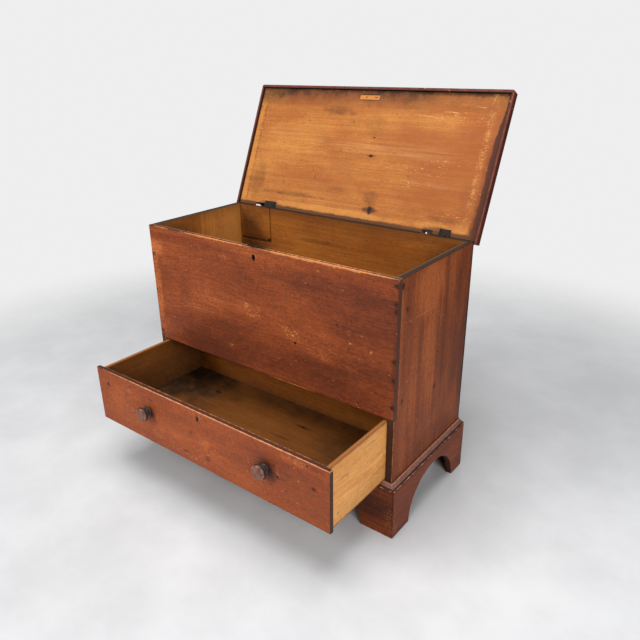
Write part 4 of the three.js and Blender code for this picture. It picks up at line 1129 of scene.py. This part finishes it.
# %% Lid board
def lid_finish():
    sheet = Finish("lid board pine and paint", "lid_board", 60.0, 0.0062, -0.07)
    place, parts, grain, half = sheet.place, sheet.parts, sheet.grain, sheet.board.half
    coat = sheet.paint(palette["front"], wear=0.002, chips=0.15, slack=0.3, streaky=0.4)
    rag = sheet.noise(place, 40, detail=5, roughness=0.7) * 0.012 - 0.006
    rear = half.y + parts["Y"] + rag
    front = half.y - parts["Y"] + rag * 2.5
    right = half.x - parts["X"] + rag
    left = half.x + parts["X"] + rag
    low_right = sheet.ease(parts["Y"], half.y * 0.1, half.y * 0.5, 0.95, 0.25)
    gripped = sheet.ease(parts["X"], 0.12, 0.3, 1.0, 0.3)
    speckled = sheet.ease(sheet.noise(place, 120, detail=3, roughness=0.7), 0.45, 0.6, 0.1, 0.6)
    # Dirt and stains from the marks, at the right edge and where hands gripped; the thin strip right along
    # the front moulding is painted shade
    dark = sheet.most(
        sheet.marks(lid_dark, ragged=1.3), sheet.fade(right, 0.018, 0.04, 1.1) * low_right,
        sheet.fade(front, 0.014, 0.082, 0.98) * gripped, sheet.fade(front, 0.002, 0.022, 0.95),
        sheet.band(left, 0.03, 0.001, 0.005) * speckled, sheet.fade(rear, 0.012, 0.022, 0.6))
    bright = sheet.most(sheet.marks(lid_light, ragged=1.4), sheet.fade(left, 0.01, 0.034, 0.6))
    wood = sheet.wood(pine["lid"], bright, dark, figure=0.22)
    chipped = sheet.ease(sheet.noise(place, 1, detail=6, roughness=0.9, stretch=(60, 34, 34)), 0.48, 0.62)
    flecks = sheet.ease(sheet.noise(place, 1, detail=3, roughness=0.7, stretch=(70, 260, 260)), 0.6, 0.68)
    haze = sheet.marks(lid_haze, ragged=1.6) * sheet.ease(grain["Lines"], 0.3, 0.7)
    colour = sheet.lay(
        wood["Color"],
        (sheet.marks(lid_red, ragged=1.2) * 0.55, tint(148, 76, 32)),
        (sheet.band(right, 0.046, 0.002, 0.012) * chipped * 0.6, tint(222, 164, 92)),
        (haze * 0.26, tint(204, 150, 100)),
        (flecks * sheet.marks(lid_flecks, ragged=1.4) * 0.7, tint(226, 172, 104)),
        (sheet.scratched(lid_scratches, width=0.0016) * 0.65, tint(232, 176, 104)))
    for point, long, wide, wings in knots:
        wing = sheet.spot(point, wings, wide * 0.9, sheet.rim_noise(wings, wide))
        knot = sheet.spot(point, long * 1.5, wide * 1.5, sheet.rim_noise(long, wide), ragged=0.5)
        core = sheet.fade(knot["Reach"], 0.4, 0.75)
        colour = sheet.lay(colour, (wing["Mask"] * 0.75, tint(92, 50, 24)), (core * 0.92, tint(30, 17, 10)))
    low, high = (sheet.board.local(lid_point(along, up)) for along, up in zip(seat_reach, seat_rise))
    middle = (low + high) / 2
    past = sheet.most(
        abs(parts["X"] - middle.x) - (high - low).x / 2, abs(parts["Y"] - middle.y) - (high - low).y / 2)
    lower_half = sheet.ease(parts["Z"], 0.0, 0.002)
    sunk = sheet.fade(parts["Z"], half.z - 0.0013, half.z - 0.0007)
    in_seat = sunk * lower_half * sheet.fade(past, 0.003, 0.006)
    seat_marks = spots(lid_point, *[(*hole, 0.0034, 0.0034, 1.4) for hole in seat_holes])
    holed = sheet.least(sheet.marks(seat_marks, ragged=0.3), 1.0)
    stained = sheet.least(sheet.marks(old_beds, ragged=0.2), 1.0)
    bedded = sheet.fade(parts["Z"], half.z - 0.0014, half.z - 0.0008)
    upper = sheet.fade(parts["Z"], half.z - 0.003, half.z - 0.0018)
    painted = sheet.ease(parts["Y"], half.y * 0.35, half.y * 0.85, 0.021, 0.007)
    fibres = grain["Fibres"] * 0.6 + 0.7
    colour = sheet.lay(
        colour,
        (sheet.fade(abs(past), 0.0004, 0.0022, 0.8) * lower_half, tint(52, 30, 16)),
        (in_seat, sheet.dim(tint(186, 120, 56), grain["Fibres"] * 0.5 + 0.75)),
        (holed * lower_half, black),
        (sheet.fade(rear, 0.018, 0.026, 0.95), sheet.dim(tint(84, 50, 22), fibres)),
        (sheet.fade(right, painted * 0.75, painted), sheet.dim(tint(80, 38, 22), fibres)),
        (upper * (1.0 - in_seat), coat["Color"]),
        (stained * bedded * lower_half, tint(32, 25, 22)))
    return sheet.close(colour, wood["Roughness"], wood["Height"], depth=0.0005)


softened_board("lid_board", "lid", lid_finish(), width=0.0012)


# %% Lid mouldings
def trim_line(sheet, colour):
    """A thin lighter line near the outer arris of the moulding's lower face, and painted shade on its inner
    face.
    """
    width = 2 * sheet.board.half.y
    sign = -1 if sheet.board.node == "lid_right_moulding" else 1
    outer = sheet.board.half.y - sheet.parts["Y"] * sign
    rag = sheet.ease(sheet.noise(sheet.place, 1, detail=3, stretch=(40, 90, 90)), 0.35, 0.6)
    return sheet.lay(
        colour, (sheet.band(outer, 0.0042, 0.0004, 0.0012) * rag * 0.45, tint(150, 92, 72)),
        # Painted shade on the inner face, next to the lid's underside
        (sheet.ease(outer, width - 0.0022, width - 0.0006, 0.0, 0.8), tint(34, 21, 18)))


for index, node in enumerate(("lid_front_moulding", "lid_left_moulding", "lid_right_moulding")):
    finish = painted_finish(
        node, 70.0 + index, palette["trim"], wear=0.0008, chips=0.08, streaky=0.35, line=0.0012, slack=0.3,
        extra=trim_line)
    softened_board(node, "lid", finish, width=0.001)
print("lid pieces", len(worn_pieces("lid_")))

# %% [markdown]
# ## The drawer
# The drawer front has the brightest red, with dark and light specks, a dark halo at each knob, dirt with
# painted shadow to its right, and a small hole where a lock was; its right part holds painted shade. Inside,
# the drawer is brown with dirt, darkest in the corner at the back left, which is partly painted shade.

# %% Drawer front
drawer_board = boards["drawer_front"]
drawer_y = drawer_board.centre.y
drawer_top = drawer_board.centre.z + drawer_board.half.y
left_knob = (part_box("drawer_left_knob")[0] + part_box("drawer_left_knob")[1]) / 2
right_knob = (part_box("drawer_right_knob")[0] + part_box("drawer_right_knob")[1]) / 2


on_drawer = upright(drawer_y)
# Stains and nail holes; the halo round each knob is dirt with painted shadow to its right; the broad spot
# over the right part is darker paint and painted shade
drawer_dark_and_shade = spots(
    on_drawer, (left_knob.x + 0.01, left_knob.z - 0.002, 0.036, 0.034, 1.3),
    (right_knob.x + 0.008, right_knob.z - 0.002, 0.055, 0.052, 1.5), (-0.443, 0.336, 0.008, 0.012, 1.6),
    (0.432, 0.309, 0.014, 0.012, 1.8), (0.307, 0.29, 0.014, 0.01, 1.4), (0.344, 0.312, 0.014, 0.007, 1.4),
    (0.026, 0.232, 0.014, 0.014, 1.2), (-0.069, 0.218, 0.02, 0.01, 1.0), (-0.223, 0.35, 0.014, 0.01, 0.8),
    (0.343, 0.227, 0.01, 0.014, 1.0), (0.031, 0.368, 0.01, 0.008, 0.9), (0.43, 0.372, 0.06, 0.01, 0.7),
    (0.4, 0.27, 0.3, 0.16, 0.45), (-0.345, 0.33, 0.012, 0.008, 0.8), (-0.04, 0.3, 0.012, 0.012, 0.9))
# Soot round each knob, with painted shadow to its right
drawer_soot = spots(
    on_drawer, (left_knob.x + 0.009, left_knob.z, 0.028, 0.026, 0.9),
    (right_knob.x + 0.01, right_knob.z, 0.036, 0.034, 1.1))
drawer_light = spots(
    on_drawer, (0.02, 0.284, 0.04, 0.03, 0.6), (-0.4, 0.3, 0.07, 0.05, 0.3),
    (0.37, 0.365, 0.08, 0.014, 0.5), (-0.1, 0.29, 0.24, 0.05, 0.25))
drawer_holes = spots(
    on_drawer, (-0.004, 0.36, 0.0075, 0.0125, 1.5), (0.005, 0.35, 0.005, 0.004, 0.7),
    (0.3065, 0.292, 0.006, 0.0055, 1.1), (-0.443, 0.336, 0.006, 0.01, 0.7),
    (0.432, 0.309, 0.008, 0.006, 0.7), (0.412, 0.372, 0.005, 0.005, 0.8))
drawer_flaked = spots(
    on_drawer, (0.016, 0.286, 0.03, 0.024, 0.6), (-0.2, 0.232, 0.04, 0.02, 0.5),
    (-0.33, 0.275, 0.04, 0.022, 0.45), (0.306, 0.304, 0.008, 0.01, 1.2), (0.37, 0.37, 0.07, 0.012, 0.6),
    (-0.06, 0.21, 0.12, 0.012, 0.6), (-0.33, 0.345, 0.02, 0.012, 0.5))
drawer_rub = spots(
    on_drawer, (0.1, drawer_top, 0.8, 0.02, 1.3),
    (-0.06, drawer_board.centre.z - drawer_board.half.y, 0.2, 0.02, 0.6))
mauve_brown = tint(122, 80, 66)
drawer_front_finish = two_sided_finish(
    "drawer front paint", "drawer_front", 80.0, palette["drawer"], pine["drawer"], light=drawer_light,
    dark=drawer_dark_and_shade, rub=drawer_rub, flaked=drawer_flaked, holes=drawer_holes, soot=drawer_soot,
    shown=0.4, under=tint(212, 142, 96), chips=0.2, streaky=0.16, slack=0.12, ring=0.007,
    narrow=[
        ("Y", 1, tint(56, 35, 28), mauve_brown, 0.35, 0.1, 0.9),
        ("X", 1, lip_brown, tint(118, 78, 60), 0.35, 0.0, 1.0),
        ("X", -1, lip_brown, tint(118, 78, 60), 0.35, 0.0, 1.0),
    ])
softened_board("drawer_front", "drawer", drawer_front_finish)


# %% Drawer sides, back and bottom
def drawer_side_finish(node, seed):
    sheet = Finish(readable(node) + " pine", node, seed, 0.0065, 0.05)
    place, parts, half = sheet.place, sheet.parts, sheet.board.half
    rear = -1 if node == "drawer_left_side" else 1
    red_back = sheet.ease(parts["X"] * rear, 0.0, half.x, 0.1, 0.85)
    red_back = red_back * sheet.ease(parts["Y"], 0.0, half.y, 0.15, 0.9)
    smoke = sheet.noise(place, 1, detail=5, roughness=0.7, stretch=(6, 70, 70))
    dirt = sheet.most(sheet.fade(sheet.edge, 0.0, 0.012, 0.55), sheet.ease(smoke, 0.55, 0.75, 0.0, 0.45))
    outer = sheet.wood(pine["pale"], 0.3, dirt, figure=0.3)
    reddened = sheet.mix(red_back * 0.55, outer["Color"], tint(176, 100, 46))
    sunlit = sheet.dim(reddened, sheet.ease(parts["Y"], -half.y, 0.0, 0.9, 1.08))
    rim_width = sheet.ease(sheet.noise(place, 38, detail=5, roughness=0.75), 0.3, 0.7, 0.002, 0.008)
    rim = sheet.fade(sheet.edge, rim_width * 0.3, rim_width, 0.8)
    low = sheet.ease(parts["Y"], -half.y, half.y * 0.8, 0.85, 0.2)
    inner = sheet.wood(pine["drawer"], 0.15, low, figure=0.3)
    colour = sheet.lay(
        inner["Color"],
        (sheet.ease(parts["Z"], 0.001 - half.z, 0.0025 - half.z), sheet.mix(rim, sunlit, tint(140, 76, 36))),
        (sheet.ease(parts["Y"], half.y - 0.0022, half.y - 0.001) * 0.85, tint(138, 86, 44)))
    return sheet.close(colour, outer["Roughness"], outer["Height"])


for node, seed in (("drawer_left_side", 90.0), ("drawer_right_side", 93.0)):
    softened_board(node, "drawer", drawer_side_finish(node, seed), width=0.0012)
drawer_back_finish = bare_finish(
    "drawer back pine", "drawer_back", 96.0, pine["well"], corner_dirt=0.5, all_dark=0.08)
softened_board("drawer_back", "drawer", drawer_back_finish, width=0.0012)
bottom_board = boards["drawer_bottom"]
bottom_back = bottom_board.centre.y + bottom_board.half.y


def on_bottom(x, y):
    """A place in the drawer, y measured forward from the bottom board's back edge."""
    return Vector((x, bottom_back - y, bottom_board.centre.z))


# Dirt, and in the back left corner painted shade, where the drawer's left side and back keep light off the
# bottom
bottom_dirt_and_shade = spots(
    on_bottom, (-0.46, 0.08, 0.36, 0.3, 1.05), (-0.47, 0.2, 0.2, 0.32, 0.7), (0.1, 0.0, 0.6, 0.11, 0.7),
    (0.42, 0.1, 0.26, 0.24, 0.6), (-0.264, 0.115, 0.05, 0.014, 0.8), (0.136, 0.117, 0.05, 0.01, 0.8),
    (0.112, 0.203, 0.05, 0.005, 0.8), (0.2, 0.25, 0.3, 0.006, 0.35))
bottom_holes = spots(on_bottom, (-0.264, 0.115, 0.018, 0.009, 0.9), (0.136, 0.117, 0.008, 0.006, 0.9))
bottom_finish = bare_finish(
    "drawer bottom pine", "drawer_bottom", 99.0, pine["drawer"], dark=bottom_dirt_and_shade, corner_dirt=0.6,
    holes=bottom_holes, figure=0.3)
softened_board("drawer_bottom", "drawer", bottom_finish, width=0.001)
print("drawer pieces", len(worn_pieces("drawer_")))

# %% [markdown]
# ## Knobs
# The knobs are turned: a small foot, a waist and a broad flat head with a rounded rim. A lathe works from
# the end of a billet, and so does this: a cylinder for the foot is extruded forward ring by ring, each ring
# as wide as the profile is there.

# %% Turned knobs
knob_wall = drawer_y - drawer_board.half.z


def knob_finish_with_painted_light():
    """Dark brown at the foot and sides, dark wood with painted shade; rubbed mauve-brown on the face, with a
    painted highlight as a thin light rim.
    """
    sheet = Finish("knob wood", shine=0.35)
    broad = sheet.noise(sheet.place, 90, detail=5, roughness=0.7)
    out = knob_wall - sheet.parts["Y"]
    # The thin light rim is a painted highlight
    rim = sheet.band(out, 0.0285, 0.0004, 0.0012) * sheet.ease(broad, 0.4, 0.6, 0.05, 0.4)
    # Dark foot and sides are dark wood with painted shade; the lighter face is rubbed
    colour = sheet.lay(
        sheet.mix(sheet.ease(broad, 0.3, 0.7), tint(28, 18, 15), tint(58, 36, 29)),
        (sheet.ease(out, 0.024, 0.03),
         sheet.mix(sheet.ease(broad, 0.35, 0.68), tint(84, 52, 41), tint(144, 92, 71))),
        (rim, tint(176, 124, 100)))
    grain = sheet.noise(sheet.place, 1, detail=2, stretch=(260, 60, 900))
    return sheet.close(sheet.dim(colour, grain * 0.5 + 0.75), broad * 0.25 + 0.34, grain, depth=0.0004)


knob_finish = knob_finish_with_painted_light()


def turned_knob(node):
    low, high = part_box(node)
    middle = (low + high) / 2
    head = (high.x - low.x) / 2
    proud = knob_wall - low.y
    # Each row is the ring's share of the head's radius and how far it stands out, as a share of the whole
    profile = [
        (0.32, 0.006), (0.64, 0.006), (0.68, 0.03), (0.66, 0.09), (0.6, 0.135), (0.47, 0.19), (0.4, 0.26),
        (0.4, 0.41), (0.5, 0.48), (0.76, 0.54), (0.92, 0.59), (0.99, 0.66), (1.0, 0.73), (0.975, 0.81),
        (0.92, 0.875), (0.8, 0.925), (0.6, 0.962), (0.3, 0.99), (0.1, 1.0),
    ]
    bpy.ops.object.select_all(action="DESELECT")
    bpy.ops.mesh.primitive_cylinder_add(
        vertices=48, radius=head * profile[0][0], depth=high.y - knob_wall + proud * profile[0][1],
        location=(middle.x, (high.y + knob_wall - proud * profile[0][1]) / 2, middle.z),
        rotation=(math.pi / 2, 0, 0))
    piece = bpy.context.object
    piece.name = node + "_turned"
    settle()
    bpy.ops.object.mode_set(mode="EDIT")
    bpy.ops.mesh.select_all(action="DESELECT")
    done()
    face = min(piece.data.polygons, key=lambda polygon: polygon.center.y)
    face.select = True
    bpy.ops.object.mode_set(mode="EDIT")
    bpy.ops.mesh.select_mode(type="FACE")
    radius, out = profile[0]
    for next_radius, next_out in profile[1:]:
        step = proud * (next_out - out)
        bpy.ops.mesh.extrude_region_move(TRANSFORM_OT_translate={"value": (0, -step, 0)})
        ratio = next_radius / radius
        bpy.ops.transform.resize(
            value=(ratio, 1, ratio), center_override=(middle.x, knob_wall - proud * next_out, middle.z))
        radius, out = next_radius, next_out
    done()
    smooth(piece, 50)
    return dress(piece, knob_finish, "drawer", node)


for node in ("drawer_left_knob", "drawer_right_knob"):
    turned_knob(node)

# %% [markdown]
# ## Iron
# The hinges, the lock and the screws are old iron, brown-grey with a dull shine where they rub. The screws
# have a filed slot each, no two turned alike.

# %% Old iron finish
def iron_finish():
    sheet = Finish("old iron", shine=0.15)
    broad = sheet.noise(sheet.place, 130, detail=5, roughness=0.7)
    rust = sheet.ease(sheet.noise(sheet.place, 60, detail=3), 0.45, 0.7)
    colour = sheet.mix(sheet.ease(broad, 0.35, 0.7), tint(16, 14, 13), tint(50, 44, 39))
    sheet.join(rust * -0.05 + 0.05, sheet.shader.inputs["Metallic"])
    return sheet.close(
        sheet.mix(rust * 0.6, colour, tint(50, 33, 24)), broad * 0.3 + 0.48, broad, depth=0.0003)


old_iron = iron_finish()
hardware = {
    "lock_plate": "case",
    "lock_case": "case",
    "lock_bolt": "bolt",
    "left_hinge_case_leaf": "case",
    "right_hinge_case_leaf": "case",
    "left_hinge_pin": "case",
    "right_hinge_pin": "case",
    "left_hinge_lid_leaf": "lid",
    "right_hinge_lid_leaf": "lid",
}
for node, body in hardware.items():
    piece = copy_of(node, node + "_worn")
    soften(piece, width=0.0003, segments=2, uneven=0.3)
    dress(piece, old_iron, body, node)


# %% Slotted screws
def slotted_screw(name, top, out, turn):
    """A countersunk screw with a slot: top is the middle of its head and out the way that it looks."""
    head_radius = 0.0034
    head_depth = 0.0018
    shank_radius = 0.0015
    length = 0.009
    slot_width = 0.0009
    slot_depth = 0.0008
    bpy.ops.object.select_all(action="DESELECT")
    bpy.ops.mesh.primitive_cone_add(
        vertices=24, radius1=shank_radius, radius2=head_radius, depth=head_depth,
        location=(0, 0, -head_depth / 2))
    piece = bpy.context.object
    piece.name = name
    bottom = min(piece.data.polygons, key=lambda polygon: polygon.center.z)
    for polygon in piece.data.polygons:
        polygon.select = polygon.index == bottom.index
    bpy.ops.object.mode_set(mode="EDIT")
    bpy.ops.mesh.select_mode(type="FACE")
    bpy.ops.mesh.extrude_region_move(TRANSFORM_OT_translate={"value": (0, 0, head_depth - length)})
    done()
    settle()
    bpy.ops.mesh.primitive_cube_add(size=1, location=(0, 0, 0), rotation=(0, 0, turn))
    blade = bpy.context.object
    blade.scale = (3 * head_radius, slot_width, 2 * slot_depth)
    apply_modifier(piece, "BOOLEAN", operation="DIFFERENCE", object=blade, solver="EXACT")
    bpy.data.objects.remove(blade)
    only(piece)
    piece.rotation_mode = "QUATERNION"
    piece.rotation_quaternion = out.to_track_quat("Z", "Y")
    piece.location = top
    settle()
    smooth(piece, 40)
    return piece


lid_under = lid_turn @ -Z
for index, node in enumerate(sorted(name for name in nodes if "screw" in name)):
    body = "lid" if node.endswith("_lid") else "case"
    out = lid_under if node.endswith("_lid") else (Y if node.startswith("lock") else Z)
    reach = max(vertex.co.dot(out) for vertex in nodes[node].data.vertices)
    rim = [vertex.co for vertex in nodes[node].data.vertices if vertex.co.dot(out) > reach - 0.0001]
    top = sum(rim, Vector()) / len(rim)
    piece = slotted_screw(node + "_slotted", top, out, turn=0.4 + 1.3 * index)
    dress(piece, old_iron, body, node)
print("screws", len([name for name in nodes if "screw" in name]))

# %% [markdown]
# ## Nails
# Cut nails hold the boards. Their heads are small dark oblongs, driven just below the paint. One head is
# shaped from a cube and every other is a copy of it, each with its own mesh, turned a little differently.

# %% Nail heads
def nail_pattern():
    bpy.ops.object.select_all(action="DESELECT")
    bpy.ops.mesh.primitive_cube_add(size=1, location=(0, 0, 0))
    head = bpy.context.object
    head.scale = (0.0052, 0.0034, 0.0016)
    settle()
    edit(head)
    bpy.ops.mesh.bevel(offset=0.0005, segments=2, affect="EDGES")
    done()
    return head


nail_head = nail_pattern()


def drive_nail(name, point, out, body, turn):
    piece = bpy.data.objects.new(name, nail_head.data.copy())
    bpy.context.scene.collection.objects.link(piece)
    only(piece)
    piece.rotation_mode = "QUATERNION"
    piece.rotation_quaternion = out.to_track_quat("Z", "Y") @ Matrix.Rotation(turn, 3, "Z").to_quaternion()
    piece.location = point
    settle()
    dress(piece, old_iron, body)


sunk = 0.0007
for index, point in enumerate(front_nails):
    place = Vector((point.x, front_face + sunk, point.z))
    drive_nail(f"front_nail_{index + 1}", place, -Y, "case", 0.7 * index)
for side, name in ((-1, "left"), (1, "right")):
    for index, (y, z) in enumerate(end_nails):
        point = on_end(y, z, side) - X * side * sunk
        drive_nail(f"{name}_end_nail_{index + 1}", point, X * side, "case", 0.9 * index)
bpy.data.objects.remove(nail_head)
